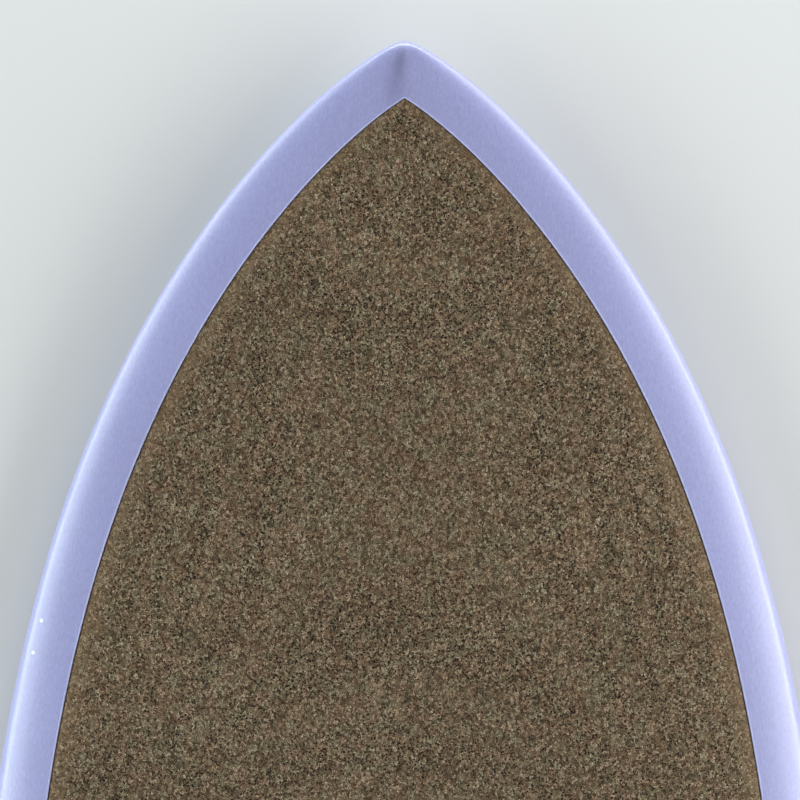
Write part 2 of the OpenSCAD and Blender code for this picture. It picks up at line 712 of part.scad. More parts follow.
module vent_insert() {
    color("whitesmoke") lay_down() at_vent() difference() {
        union() {
            translate([0, 0, -vent_flange_t])
                cylinder(r = vent_barrel_r + vent_lip, h = vent_flange_t);
            translate([0, 0, -vent_depth]) cylinder(r = vent_barrel_r, h = vent_depth);
        }
        plug_space(vent_well_r, vent_well_depth);
        plug_space(vent_thread_d / 2 + running_gap, vent_shelf);
        plug_space(vent_hole_d / 2, vent_depth + over);
    }
}

module vent_screw() {
    color("gray") lay_down() at_vent() difference() {
        union() {
            translate([0, 0, -vent_head_under]) cylinder(r = vent_head_r, h = vent_head_t);
            translate([0, 0, -vent_head_under - vent_thread_length])
                cylinder(d = vent_thread_d, h = vent_thread_length);
        }
        translate([-vent_head_r - 1, -slot_width / 2, -vent_head_sink - slot_depth])
            cube([2 * vent_head_r + 2, slot_width, over]);
        plug_space(bleed_d / 2, vent_shelf);
    }
}

module vent_o_ring() {
    color("black") lay_down() at_vent() translate([0, 0, -vent_head_under - ring_r])
        rotate_extrude() translate([vent_thread_d / 2 + ring_fit + ring_r, 0])
            circle(r = ring_r, $fn = 24);
}

module vent_membrane() {
    color("white") lay_down() at_vent() translate([0, 0, -vent_shelf])
        cylinder(d = vent_thread_d - 2 * running_gap, h = membrane_t);
}

// ---------------------------------------------------------------- blank, stringer and skins
half_gap = stringer_thickness / 2 + bond_gap;

// Room in the blank and the stringer for what is let into them
module core_pockets() {
    for (side = SIDES) block_space(side, cut_gap);
    at_leash() plug_space(leash_block_r + cut_gap, board_thickness);
    at_vent() plug_space(vent_barrel_r + cut_gap, vent_depth + cut_gap);
}

module blank_half() {
    hull_half(foam_top, foam_side, first_core_row, last_core_row, 2 * bond_gap, half_gap);
}

module blank_left() {
    color("white") lay_down() difference() {
        blank_half();
        core_pockets();
    }
}

module blank_right() {
    color("white") lay_down() difference() {
        mirror([0, 1, 0]) blank_half();
        core_pockets();
    }
}

module stringer() {
    along = stations(first_core_row, last_core_row, 2 * bond_gap);
    outline = concat(
        [for (x = along) [x, bottom_z(x) + foam_side]],
        [for (k = [len(along) - 1:-1:0]) let (x = along[k])
            [x, bottom_z(x) + thickness(x) - foam_top]]);
    color("burlywood") lay_down() difference() {
        translate([0, stringer_thickness / 2, 0]) rotate([90, 0, 0])
            linear_extrude(stringer_thickness) polygon(outline);
        core_pockets();
    }
}

module hull_skin() {
    color("lavender") lay_down() difference() {
        hull_shell();
        for (side = SIDES) at_fin(side) box_body(-over, over, cut_gap);
    }
}

module deck_skin() {
    color("ivory") lay_down() difference() {
        deck_sheet(deck_skin_top, deck_skin_floor);
        plug_pocket();
        at_vent() plug_space(vent_barrel_r + cut_gap, vent_depth);
    }
}

module cork_deck() {
    color("tan") lay_down() difference() {
        deck_sheet(cork_recess, cork_recess + cork_thickness);
        at_leash() plug_space(leash_flange_d / 2 + cut_gap, leash_depth);
        at_vent() plug_space(vent_barrel_r + vent_lip + cut_gap, vent_depth);
    }
}

blank_left();
blank_right();
stringer();
hull_skin();
deck_skin();
cork_deck();
fin_box("left");  // fin_box_left
fin_box("right");  // fin_box_right
fin_box("center");  // fin_box_center
fin_block("left");  // fin_block_left
fin_block("right");  // fin_block_right
fin_block("center");  // fin_block_center
fin("left");  // fin_left
fin("right");  // fin_right
fin("center");  // fin_center
fin_screw("left", "front");  // fin_screw_left_front
fin_screw("left", "rear");  // fin_screw_left_rear
fin_screw("right", "front");  // fin_screw_right_front
fin_screw("right", "rear");  // fin_screw_right_rear
fin_screw("center", "front");  // fin_screw_center_front
fin_screw("center", "rear");  // fin_screw_center_rear
leash_cup();
leash_bar();
leash_block();
vent_insert();
vent_screw();
vent_o_ring();
vent_membrane();
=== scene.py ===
"""Short surfboard with a cork deck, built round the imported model.

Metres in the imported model's frame: +X towards the nose, +Y towards the board's left rail and +Z
up out of the deck. Shapes are worked out in millimetres in the board's own axes, in which x runs
from the tail to the nose and z is square to the bottom's lowest place, and are then laid down.
"""

import json
import logging
import math
from collections.abc import Callable, Iterable, Sequence
from dataclasses import dataclass, field
from enum import Enum
from functools import cache, cached_property
from typing import Any

import bmesh
import bpy
from mathutils import Euler, Matrix, Vector


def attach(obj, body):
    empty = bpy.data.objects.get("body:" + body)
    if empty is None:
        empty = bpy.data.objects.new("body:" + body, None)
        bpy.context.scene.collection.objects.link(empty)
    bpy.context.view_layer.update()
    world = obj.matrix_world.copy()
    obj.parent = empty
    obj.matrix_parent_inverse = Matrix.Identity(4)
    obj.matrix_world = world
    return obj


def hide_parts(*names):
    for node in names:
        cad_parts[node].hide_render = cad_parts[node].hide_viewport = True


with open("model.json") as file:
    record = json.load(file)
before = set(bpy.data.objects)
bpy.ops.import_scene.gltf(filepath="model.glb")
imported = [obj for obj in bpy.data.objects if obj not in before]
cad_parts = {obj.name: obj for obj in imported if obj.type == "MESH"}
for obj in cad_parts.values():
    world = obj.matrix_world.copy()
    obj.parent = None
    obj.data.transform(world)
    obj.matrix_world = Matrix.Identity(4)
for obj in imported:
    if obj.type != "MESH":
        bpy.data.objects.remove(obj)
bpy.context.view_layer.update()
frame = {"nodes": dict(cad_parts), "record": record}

log = logging.getLogger("surfboard")
MM = 0.001
Rgb = tuple[float, float, float]
Spot = tuple[float, float, float]
Profile = Sequence[tuple[float, float]]


def linear(red: float, green: float, blue: float) -> Rgb:
    """Turns a screen colour of 0 to 255 into the linear colour that shaders take."""
    return tuple(
        c / 255 / 12.92 if c <= 10.3 else ((c / 255 + 0.055) / 1.055) ** 2.4
        for c in (red, green, blue)
    )


def smooth_step(value: float) -> float:
    """Eases a share from 0 to 1, flat at both ends."""
    share = min(max(value, 0.0), 1.0)
    return share * share * (3 - 2 * share)


# ------------------------------------------------------------------ the board's shape
@dataclass(frozen=True)
class BoardShape:
    """Outline, rocker and section of the board, in millimetres in the board's own axes."""

    length: float = 1778.0
    width: float = 490.0
    thickness_most: float = 62.0
    wide_point_from_nose: float = 840.0
    nose_rocker: float = 118.0
    tail_rocker: float = 54.0
    low_point_from_tail: float = 790.0
    tail_end_width: float = 160.0
    tail_corner_r: float = 40.0
    nose_tip_thickness: float = 9.0
    tail_end_thickness: float = 12.0
    rail_line: float = 0.4
    deck_fullness: float = 3.0
    bottom_flatness: float = 6.0
    nose_fullness: float = 3.54
    nose_roundness: float = 0.805
    tail_fullness: float = 2.2
    tail_roundness: float = 0.85
    nose_flat: float = 1.5
    nose_lift: float = 2.4
    tail_lift: float = 2.2
    end_round: float = 6.0
    pitch_degrees: float = 6.14758
    shift_along: float = -893.444
    shift_up: float = 115.243
    ridge_height: float = 0.8
    ridge_spread: float = 5.0
    ridge_ahead_of: float = 1740.0
    ridge_grows_in: float = 18.0
    ridge_ends_in: float = 8.0
    nose_foil: tuple[float, float] = (1.9, 0.9)
    tail_foil: tuple[float, float] = (2.6, 0.85)

    @property
    def tail_run(self) -> float:
        """Distance from the tail to the widest point."""
        return self.length - self.wide_point_from_nose

    @staticmethod
    def _spread(share: float, fullness: float, roundness: float) -> float:
        """Share of the half-width reached at a share of the way from an end."""
        held = min(max(share, 0.0), 1.0)
        return (1 - (1 - held) ** fullness) ** roundness

    def half_width(self, x: float) -> float:
        """Half-width of the outline at x, far below zero beyond either end."""
        if x < 0 or x > self.length:
            return -1000.0
        if x > self.tail_run:
            share = (self.length - x) / self.wide_point_from_nose
            return self.nose_flat + (self.width / 2 - self.nose_flat) * self._spread(
                share, self.nose_fullness, self.nose_roundness
            )
        radius = self.tail_corner_r
        cut = 0.0 if x >= radius else radius - math.sqrt(radius**2 - (radius - x) ** 2)
        return (
            self.tail_end_width / 2
            + (self.width - self.tail_end_width)
            / 2
            * self._spread(x / self.tail_run, self.tail_fullness, self.tail_roundness)
            - cut
        )

    def inset_half(self, x: float, inset: float) -> float:
        """Half-width at x of the outline drawn in by inset on every side."""
        steps = 48
        return min(
            self.half_width(x + inset * math.sin(a)) - inset * math.cos(a)
            for a in (-math.pi / 2 + math.pi * k / steps for k in range(steps + 1))
        )

    def bottom_line(self, x: float) -> float:
        """Height of the keel line at x."""
        low = self.low_point_from_tail
        if x > low:
            return self.nose_rocker * ((x - low) / (self.length - low)) ** self.nose_lift
        return self.tail_rocker * ((low - x) / low) ** self.tail_lift

    def full_thickness(self, x: float) -> float:
        """Thickness at x before the ends are rounded in side view."""
        run = self.tail_run
        if x > run:
            share, end = (x - run) / self.wide_point_from_nose, self.nose_tip_thickness
            power, root = self.nose_foil
        else:
            share, end = (run - x) / run, self.tail_end_thickness
            power, root = self.tail_foil
        return end + (self.thickness_most - end) * max(1 - share**power, 0.0) ** root

    def thickness(self, x: float) -> float:
        """Thickness at x, closing to nothing at either end in a half round."""
        near = min(x, self.length - x, self.end_round) / self.end_round
        return self.full_thickness(x) * math.sqrt(max(1 - (1 - max(near, 0.0)) ** 2, 0.0))

    def rail_z(self, x: float) -> float:
        """Height of the rail's widest line at x."""
        return self.bottom_line(x) + self.rail_line * self.full_thickness(x)

    def _share_across(self, x: float, y: float) -> float:
        """How far out y is, from 0 at the centre line to 1 at the rail."""
        return min(abs(y) / max(self.half_width(x), 1e-6), 1.0)

    def ridge(self, x: float, y: float) -> float:
        """Height of the soft crease that runs from the nose to the cork's point."""
        ahead = (x - self.ridge_ahead_of) / self.ridge_grows_in
        to_end = (self.length - x) / self.ridge_ends_in
        fade = smooth_step(ahead) * smooth_step(to_end)
        return self.ridge_height * fade * math.exp(-abs(y) / self.ridge_spread)

    def deck_at(self, x: float, y: float) -> float:
        """Height of the deck."""
        crown = math.sqrt(max(1 - self._share_across(x, y) ** self.deck_fullness, 0.0))
        return self.rail_z(x) + (1 - self.rail_line) * self.thickness(x) * crown + self.ridge(x, y)

    def bottom_at(self, x: float, y: float) -> float:
        """Height of the bottom."""
        belly = math.sqrt(max(1 - self._share_across(x, y) ** self.bottom_flatness, 0.0))
        return self.rail_z(x) - self.rail_line * self.thickness(x) * belly

    @property
    def lay_down(self) -> Matrix:
        """Turns the board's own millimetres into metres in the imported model's frame."""
        lift = Matrix.Translation((self.shift_along, 0, self.shift_up))
        tilt = Matrix.Rotation(math.radians(self.pitch_degrees), 4, "Y")
        return Matrix.Scale(MM, 4) @ lift @ tilt

    def slopes(
        self, height: Callable[[float, float], float], x: float, y: float
    ) -> tuple[float, float]:
        """Slopes of a height along x and along y.

        Args:
            height: deck_at or bottom_at.
            x: Place along the board.
            y: Place across the board.

        Returns:
            Rise along x and rise along y.
        """
        step = 0.5
        along = (height(x + step, y) - height(x - step, y)) / (2 * step)
        across = (height(x, y + step) - height(x, y - step)) / (2 * step)
        return along, across


@dataclass(frozen=True)
class CorkOutline:
    """Opening in the laminate that the cork lies in."""

    shape: BoardShape
    inset: float = 29.0
    recess: float = 0.4
    cork_thickness: float = 3.0
    edge_gap: float = 0.2
    back: float = 29.0

    @cached_property
    def tip(self) -> float:
        """Place where the two edges meet near the nose."""
        low, high = self.shape.tail_run, self.shape.length - self.inset
        for _ in range(40):
            middle = (low + high) / 2
            if self.shape.inset_half(middle, self.inset) > 0:
                low = middle
            else:
                high = middle
        return low

    @cache
    def edge(self, x: float) -> float:
        """Half-width of the opening at x, inside its length."""
        return max(self.shape.inset_half(x, self.inset), 0.0)


def spaced(start: float, stop: float, count: int, power: float = 1.0) -> list[float]:
    """Places from start up to, not including, stop, crowded at start where power is above 1."""
    return [start + (stop - start) * (k / count) ** power for k in range(count)]


# ------------------------------------------------------------------ mesh helpers
def add_piece(name: str, mesh: bpy.types.Mesh, body: str, nodes: Sequence[str]) -> Any:
    """Puts a finished mesh in the scene as a piece.

    Args:
        name: Name of the piece.
        mesh: Finished mesh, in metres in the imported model's frame.
        body: Body that the piece moves with.
        nodes: CAD nodes that the piece stands for.

    Returns:
        The piece.
    """
    piece = bpy.data.objects.new(name, mesh)
    bpy.context.scene.collection.objects.link(piece)
    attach(piece, body)
    if nodes:
        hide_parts(*nodes)
    return piece


def finish_mesh(
    bm: bmesh.types.BMesh, name: str, place: Matrix | None = None, sharp: float = 35.0
) -> bpy.types.Mesh:
    """Turns a bmesh into a smooth-shaded mesh with its hard edges kept.

    Args:
        bm: The bmesh, freed here.
        name: Name of the mesh.
        place: Where the mesh goes, or None where it already lies in metres.
        sharp: Angle in degrees above which an edge stays hard.

    Returns:
        The mesh.
    """
    if place is not None:
        bmesh.ops.transform(bm, matrix=place, verts=bm.verts[:])
    mesh = bpy.data.meshes.new(name)
    bm.to_mesh(mesh)
    bm.free()
    mesh.shade_smooth()
    mesh.set_sharp_from_angle(angle=math.radians(sharp))
    return mesh


def applied(mesh: bpy.types.Mesh, set_up: Callable[[bpy.types.Object], None]) -> bpy.types.Mesh:
    """Runs modifiers on a mesh and keeps what they give.

    Args:
        mesh: Mesh to work on.
        set_up: Adds the modifiers to a scratch object.

    Returns:
        The new mesh.
    """
    scratch = bpy.data.objects.new("scratch", mesh)
    bpy.context.scene.collection.objects.link(scratch)
    set_up(scratch)
    graph = bpy.context.evaluated_depsgraph_get()
    result = bpy.data.meshes.new_from_object(scratch.evaluated_get(graph))
    bpy.data.objects.remove(scratch)
    result.name = mesh.name
    return result


def cut_with(mesh: bpy.types.Mesh, cutters: Iterable[bpy.types.Mesh], kind: str) -> bpy.types.Mesh:
    """Cuts others out of a mesh, or joins them to it.

    Args:
        mesh: Mesh to work on.
        cutters: Closed meshes in the same frame.
        kind: DIFFERENCE or UNION.

    Returns:
        The new mesh.
    """
    for cutter in cutters:
        tool = bpy.data.objects.new("tool", cutter)
        bpy.context.scene.collection.objects.link(tool)

        def set_up(scratch: bpy.types.Object) -> None:
            """Adds the boolean."""
            boolean = scratch.modifiers.new("cut", "BOOLEAN")
            boolean.object = tool
            boolean.operation = kind
            boolean.solver = "EXACT"

        mesh = applied(mesh, set_up)
        bpy.data.objects.remove(tool)
    return mesh


def warped_grid(
    columns: int, rows: int, to_place: Callable[[int, int], Sequence[float]]
) -> tuple[bmesh.types.BMesh, dict[bmesh.types.BMFace, tuple[int, int]]]:
    """Makes a grid and puts each vertex where a formula says.

    Args:
        columns: Cells along the first way.
        rows: Cells along the second way.
        to_place: Gives a vertex's place from its column and row.

    Returns:
        The bmesh, and the column and row of each face.
    """
    bm = bmesh.new()
    bmesh.ops.create_grid(bm, x_segments=columns, y_segments=rows, size=0.5)
    cells = {}
    for face in bm.faces:
        middle = face.calc_center_median()
        cells[face] = (
            int((middle.x + 0.5) * columns),
            int((middle.y + 0.5) * rows),
        )
    for vertex in bm.verts:
        column = round((vertex.co.x + 0.5) * columns)
        row = round((vertex.co.y + 0.5) * rows)
        vertex.co = to_place(column, row)
    return bm, cells


def turned_shape(profile: Profile, steps: int) -> bmesh.types.BMesh:
    """Spins a profile of (radius, height) pairs round the z axis into a closed shape.

    Args:
        profile: The profile, from the axis round to the axis again.
        steps: Steps of the full turn.

    Returns:
        The closed bmesh, with its faces pointing out.
    """
    bm = bmesh.new()
    verts = [bm.verts.new((radius, 0, height)) for radius, height in profile]
    edges = [bm.edges.new(pair) for pair in zip(verts, verts[1:])]
    bmesh.ops.spin(
        bm,
        geom=verts + edges,
        cent=(0, 0, 0),
        axis=(0, 0, 1),
        angle=math.tau,
        steps=steps,
        use_merge=True,
    )
    bmesh.ops.remove_doubles(bm, verts=bm.verts[:], dist=1e-4)
    bmesh.ops.recalc_face_normals(bm, faces=bm.faces[:])
    return bm


def eased(corners: Sequence[tuple[float, float, float]], steps: int = 4) -> Profile:
    """Rounds the corners of a profile.

    Args:
        corners: Radius, height and reach of the rounding of each corner.
        steps: Steps of each rounding.

    Returns:
        The profile as (radius, height) pairs.
    """
    points = []
    for k, (radius, height, reach) in enumerate(corners):
        here = Vector((radius, height))
        if not reach:
            points.append((radius, height))
            continue
        start = here + (Vector(corners[k - 1][:2]) - here).normalized() * reach
        end = here + (Vector(corners[k + 1][:2]) - here).normalized() * reach
        for n in range(steps + 1):
            share = n / steps
            points.append(tuple(start.lerp(here, share).lerp(here.lerp(end, share), share)))
    return points


def rounded_block(size: Sequence[float], radius: float, segments: int) -> bmesh.types.BMesh:
    """A block centred on the origin, with all its edges rounded.

    Args:
        size: Its three sides.
        radius: Radius of its edges.
        segments: Steps of each rounding.

    Returns:
        The bmesh.
    """
    bm = bmesh.new()
    bmesh.ops.create_cube(bm, size=1.0)
    bmesh.ops.scale(bm, vec=size, verts=bm.verts[:])
    bmesh.ops.bevel(
        bm,
        geom=bm.edges[:],
        offset=radius,
        segments=segments,
        profile=0.5,
        affect="EDGES",
        material=-1,
    )
    return bm


def round_bar(radius: float, length: float, steps: int, soften: float) -> bmesh.types.BMesh:
    """A bar along z, centred on the origin, with softened ends.

    Args:
        radius: Its radius.
        length: Its length.
        steps: Steps round it.
        soften: Radius of its end edges.

    Returns:
        The bmesh.
    """
    half = length / 2
    return turned_shape(
        [
            (0, -half),
            (radius - soften, -half),
            (radius - soften * 0.3, -half + soften * 0.3),
            (radius, -half + soften),
            (radius, half - soften),
            (radius - soften * 0.3, half - soften * 0.3),
            (radius - soften, half),
            (0, half),
        ],
        steps,
    )


# ------------------------------------------------------------------ materials
class Sketch:
    """Builds a material's nodes in few words."""

    def __init__(self, name: str) -> None:
        """Starts an empty material."""
        self.material = bpy.data.materials.new(name)
        self.material.use_nodes = True
        self.tree = self.material.node_tree
        self.tree.nodes.clear()
        self.coords = self.node("TexCoord").outputs["Object"]

    def node(self, kind: str, inputs: dict[Any, Any] | None = None, **settings: Any) -> Any:
        """Adds a node.

        Args:
            kind: Its type without the ShaderNode prefix.
            inputs: What its sockets take: an output to link, or a plain value.
            settings: The node's own settings.

        Returns:
            The node.
        """
        made = self.tree.nodes.new("ShaderNode" + kind)
        for key, value in settings.items():
            setattr(made, key, value)
        for key, value in (inputs or {}).items():
            if isinstance(value, bpy.types.NodeSocket):
                self.tree.links.new(value, made.inputs[key])
            elif isinstance(value, tuple) and len(value) == 3 and made.inputs[key].type == "RGBA":
                made.inputs[key].default_value = (*value, 1.0)
            else:
                made.inputs[key].default_value = value
        return made

    def math(self, operation: str, *values: Any) -> Any:
        """Output of a Math node."""
        return self.node("Math", dict(enumerate(values)), operation=operation).outputs[0]

    def vector(self, operation: str, *values: Any) -> Any:
        """Output of a Vector Math node: a vector, or a number for a length or a dot product."""
        made = self.node("VectorMath", dict(enumerate(values)), operation=operation)
        number = operation in {"LENGTH", "DISTANCE", "DOT_PRODUCT"}
        return made.outputs["Value" if number else "Vector"]

    def placed(self, scale: Sequence[float], turn: Sequence[float] = (0, 0, 0)) -> Any:
        """Object coordinates, turned by angles in degrees and scaled."""
        angles = tuple(math.radians(a) for a in turn)
        return self.node(
            "Mapping", {"Vector": self.coords, "Rotation": angles, "Scale": tuple(scale)}
        ).outputs[0]

    def noise(
        self, scale: float, detail: float = 2.0, coords: Any = None, rough: float = 0.5
    ) -> Any:
        """Value of a noise pattern, about 0.5 on average."""
        return self.node(
            "TexNoise",
            {
                "Vector": coords or self.coords,
                "Scale": scale,
                "Detail": detail,
                "Roughness": rough,
            },
        ).outputs[0]

    def cells(self, scale: float, coords: Any, feature: str = "F1", spread: float = 1.0) -> Any:
        """A Voronoi node."""
        return self.node(
            "TexVoronoi",
            {"Vector": coords, "Scale": scale, "Randomness": spread},
            feature=feature,
        )

    def ramp(self, value: Any, stops: Sequence[tuple[float, Rgb | float]]) -> Any:
        """Colour of a ramp through stops of a place and a colour or a grey."""
        made = self.node("ValToRGB", {"Fac": value})
        points = made.color_ramp.elements
        while len(points) < len(stops):
            points.new(0.5)
        for point, (place, colour) in zip(points, stops):
            point.position = place
            rgb = colour if isinstance(colour, tuple) else (colour,) * 3
            point.color = (*rgb, 1.0)
        return made.outputs["Color"]

    def span(self, value: Any, low: float, high: float, out_low: float, out_high: float) -> Any:
        """Maps a value from one range to another and holds it there."""
        return self.node(
            "MapRange",
            {"Value": value, 1: low, 2: high, 3: out_low, 4: out_high},
        ).outputs[0]

    def blend(self, kind: str, share: Any, first: Any, second: Any) -> Any:
        """Colour of two colours mixed in a Mix node."""
        return self.node(
            "Mix", {0: share, 6: first, 7: second}, data_type="RGBA", blend_type=kind
        ).outputs[2]

    def bump(self, height: Any, distance: float, strength: float = 1.0, under: Any = None) -> Any:
        """Normal of a bump."""
        inputs = {"Height": height, "Distance": distance, "Strength": strength}
        if under is not None:
            inputs["Normal"] = under
        return self.node("Bump", inputs).outputs[0]

    def done(self, inputs: dict[str, Any]) -> bpy.types.Material:
        """Adds the Principled shader and the output, and hands the material over."""
        shader = self.node("BsdfPrincipled", inputs)
        self.node("OutputMaterial", {"Surface": shader.outputs[0]})
        return self.material


@dataclass(frozen=True)
class AgglomeratedCork:
    """Pressed cork granules with open pores between them."""

    grain: float = 1.3 * MM
    fine: float = 0.6 * MM
    pore: float = 1.5 * MM
    pore_share: float = 0.26
    tones: tuple[tuple[float, Rgb], ...] = (
        (0.14, linear(20, 12, 6)),
        (0.30, linear(58, 45, 32)),
        (0.43, linear(86, 71, 54)),
        (0.57, linear(100, 85, 66)),
        (0.72, linear(125, 110, 89)),
        (0.90, linear(180, 165, 142)),
    )

    def build(self) -> bpy.types.Material:
        """Makes the material."""
        s = Sketch("agglomerated_cork")
        drift = s.node("TexNoise", {"Vector": s.coords, "Scale": 0.6 / self.grain, "Detail": 1.0})
        warp = s.vector("SCALE", s.vector("SUBTRACT", drift.outputs["Color"], (0.5, 0.5, 0.5)))
        warp.node.inputs["Scale"].default_value = self.grain * 0.55
        bent = s.vector("ADD", s.coords, warp)
        grains = s.cells(1 / self.grain, bent)
        split = s.node("SeparateColor", {0: grains.outputs["Color"]})
        pick, odd = split.outputs[0], split.outputs[1]
        fine = s.noise(1 / self.fine, 2.0, s.coords, 0.6)
        mottle = s.span(fine, 0.3, 0.7, 0.0, 1.0)
        tone = s.math("ADD", s.math("MULTIPLY", pick, 0.42), s.math("MULTIPLY", mottle, 0.58))
        colour = s.ramp(tone, self.tones)
        colour = s.blend("MIX", s.span(odd, 0.93, 0.95, 0.0, 0.3), colour, linear(112, 82, 56))
        hue = s.ramp(
            s.noise(1 / (7 * MM), 2.0), ((0.36, (1.06, 0.96, 0.93)), (0.64, (0.95, 1.02, 0.98)))
        )
        colour = s.blend("MULTIPLY", 1.0, colour, hue)
        broad = s.noise(11.0, 3.0)
        colour = s.blend("MULTIPLY", 1.0, colour, s.ramp(broad, ((0.3, 0.93), (0.7, 1.06))))
        spots = s.cells(1 / self.pore, s.vector("ADD", bent, (0.5, 0.3, 0.7)))
        chosen = s.node("SeparateColor", {0: spots.outputs["Color"]}).outputs[2]
        near = s.span(spots.outputs["Distance"], 0.3, 0.46, 1.0, 0.0)
        pore = s.math("MULTIPLY", near, s.math("GREATER_THAN", chosen, 1 - self.pore_share))
        colour = s.blend("MIX", s.math("MULTIPLY", pore, 0.95), colour, linear(16, 11, 8))
        # Painted light: near the sheet's edge the colour is pushed towards a lighter cork, for the
        # light that the deck's sloping edges catch.
        rim = s.node("Attribute", attribute_name="rim").outputs["Fac"]
        colour = s.blend("MIX", s.math("MULTIPLY", rim, 0.3), colour, linear(134, 110, 84))
        relief = s.math("SUBTRACT", s.math("MULTIPLY", tone, 0.5), pore)
        return s.done(
            {
                "Base Color": colour,
                "Roughness": s.span(tone, 0.2, 0.8, 0.92, 0.74),
                "Specular IOR Level": 0.12,
                "Normal": s.bump(relief, 0.35 * MM, 0.5),
            }
        )


@dataclass(frozen=True)
class LavenderLaminate:
    """Pigmented epoxy over glass cloth, sanded to a satin with a fine lengthwise drag."""

    colour: Rgb = linear(145, 146, 187)
    name: str = "lavender_laminate"
    roughness: float = 0.4
    pale_specks: tuple[tuple[float, float, float, float], ...] = ()
    crease_shade_line: tuple[Vector, Vector] | None = None

    def _paint_crease_shade(self, s: Sketch, tint: Any) -> Any:
        """Paints shade along the nose's crease, where the slope beside it falls in shadow: darkens
        the colour along a line that widens and fades from its start.

        Args:
            s: The material's sketch.
            tint: Colour so far.

        Returns:
            The darkened colour.
        """
        start, end = (Vector((v.x, v.y, 0)) for v in self.crease_shade_line)
        way = end - start
        flat = s.vector("MULTIPLY", s.coords, (1.0, 1.0, 0.0))
        out = s.vector("SUBTRACT", flat, tuple(start))
        along = s.math(
            "DIVIDE", s.vector("DOT_PRODUCT", out, tuple(way)), way.length_squared
        )
        side = s.vector("DOT_PRODUCT", out, tuple(Vector((-way.y, way.x, 0)).normalized()))
        reach = s.span(along, 0.0, 1.0, 2.6 * MM, 7.0 * MM)
        off = s.math("DIVIDE", s.math("ABSOLUTE", side), reach)
        near = s.math("EXPONENT", s.math("MULTIPLY", s.math("MULTIPLY", off, off), -1.0))
        fade = s.math("MULTIPLY", s.span(along, -0.1, 0.2, 0, 1), s.span(along, 0.3, 1.3, 1, 0))
        # Strength of the painted shade: darkest on the line, fading away from it.
        depth = s.math("MULTIPLY", s.math("MULTIPLY", near, fade), 0.42)
        return s.blend("MIX", depth, tint, linear(72, 68, 98))

    def build(self) -> bpy.types.Material:
        """Makes the material."""
        s = Sketch(self.name)
        drag = s.noise(1.0, 3.0, s.placed((260, 1300, 1300)), 0.6)
        cloth = s.noise(1.0, 2.0, s.placed((520, 700, 700), (0, 0, 12)))
        broad = s.noise(7.0, 2.0)
        tint = s.blend("MULTIPLY", 1.0, self.colour, s.ramp(drag, ((0.25, 0.9), (0.75, 1.1))))
        tint = s.blend("MULTIPLY", 1.0, tint, s.ramp(broad, ((0.3, 0.96), (0.7, 1.04))))
        tint = s.blend(
            "MULTIPLY", 1.0, tint, s.ramp(cloth, ((0.3, 0.95), (0.7, 1.05)))
        )
        # Painted shade along the nose's crease, where the slope beside it falls in shadow.
        if self.crease_shade_line:
            tint = self._paint_crease_shade(s, tint)
        # Pale specks painted into the colour at given places on the band.
        for x, y, z, size in self.pale_specks:
            away = s.vector("DISTANCE", s.coords, (x, y, z))
            tint = s.blend("MIX", s.span(away, size * 0.4, size, 0.9, 0.0), tint, (0.95,) * 3)
        height = s.math("ADD", s.math("MULTIPLY", drag, 0.7), s.math("MULTIPLY", cloth, 0.3))
        rough = s.span(drag, 0.3, 0.7, self.roughness - 0.06, self.roughness + 0.06)
        return s.done(
            {
                "Base Color": tint,
                "Roughness": rough,
                "Specular IOR Level": 0.5,
                "Coat Weight": 1.0,
                "Coat Roughness": 0.3,
                "Normal": s.bump(height, 0.09 * MM, 0.6),
            }
        )


@dataclass(frozen=True)
class BandSpecksAndCreaseShade:
    """Pale specks, and painted shade along a short crease by the nose, on the band, in the board's
    own millimetres.
    """

    shape: BoardShape
    specks: tuple[tuple[float, float], ...] = ((1458.9, 201.4), (1441.1, 206.1))
    speck_size: float = 1.3 * MM
    crease_shade_line: tuple[tuple[float, float], ...] = ((1776.0, 0.8), (1744.0, 7.5))
    crease_shade_height: float = 110.0

    def pale_specks(self) -> tuple[tuple[float, float, float, float], ...]:
        """Place and size of each speck, in metres."""
        spots = (Vector((x, y, self.shape.deck_at(x, y))) for x, y in self.specks)
        return tuple((*(self.shape.lay_down @ spot), self.speck_size) for spot in spots)

    def crease_shade_ends(self) -> tuple[Vector, ...]:
        """Start and end of the line of painted crease shade, in metres."""
        height = self.crease_shade_height
        return tuple(self.shape.lay_down @ Vector((x, y, height)) for x, y in self.crease_shade_line)


@dataclass(frozen=True)
class Moulding:
    """Moulded plastic with a fine sparked grain and faint scuffs."""

    name: str
    colour: Rgb
    roughness: float = 0.45
    grain: float = 0.5 * MM

    def build(self) -> bpy.types.Material:
        """Makes the material."""
        s = Sketch(self.name)
        grain = s.noise(1 / self.grain, 2.0)
        scuff = s.noise(1.0, 4.0, s.placed((60, 900, 300), (0, 0, 20)), 0.7)
        worn = s.span(scuff, 0.55, 0.75, 0.0, 1.0)
        tint = s.blend("MULTIPLY", 1.0, self.colour, s.ramp(grain, ((0.3, 0.94), (0.7, 1.06))))
        return s.done(
            {
                "Base Color": tint,
                "Roughness": s.span(worn, 0.0, 1.0, self.roughness, self.roughness + 0.15),
                "Specular IOR Level": 0.45,
                "Normal": s.bump(grain, 0.04 * MM, 0.5),
            }
        )


@dataclass(frozen=True)
class Steel:
    """Turned stainless steel."""

    name: str
    colour: Rgb
    roughness: float = 0.28

    def build(self) -> bpy.types.Material:
        """Makes the material."""
        s = Sketch(self.name)
        lines = s.noise(1.0, 2.0, s.placed((300, 300, 6000)))
        return s.done(
            {
                "Base Color": s.blend(
                    "MULTIPLY", 1.0, self.colour, s.ramp(lines, ((0.3, 0.86), (0.7, 1.0)))
                ),
                "Metallic": 1.0,
                "Roughness": s.span(lines, 0.3, 0.7, self.roughness, self.roughness + 0.14),
                "Normal": s.bump(lines, 0.02 * MM, 0.4),
            }
        )


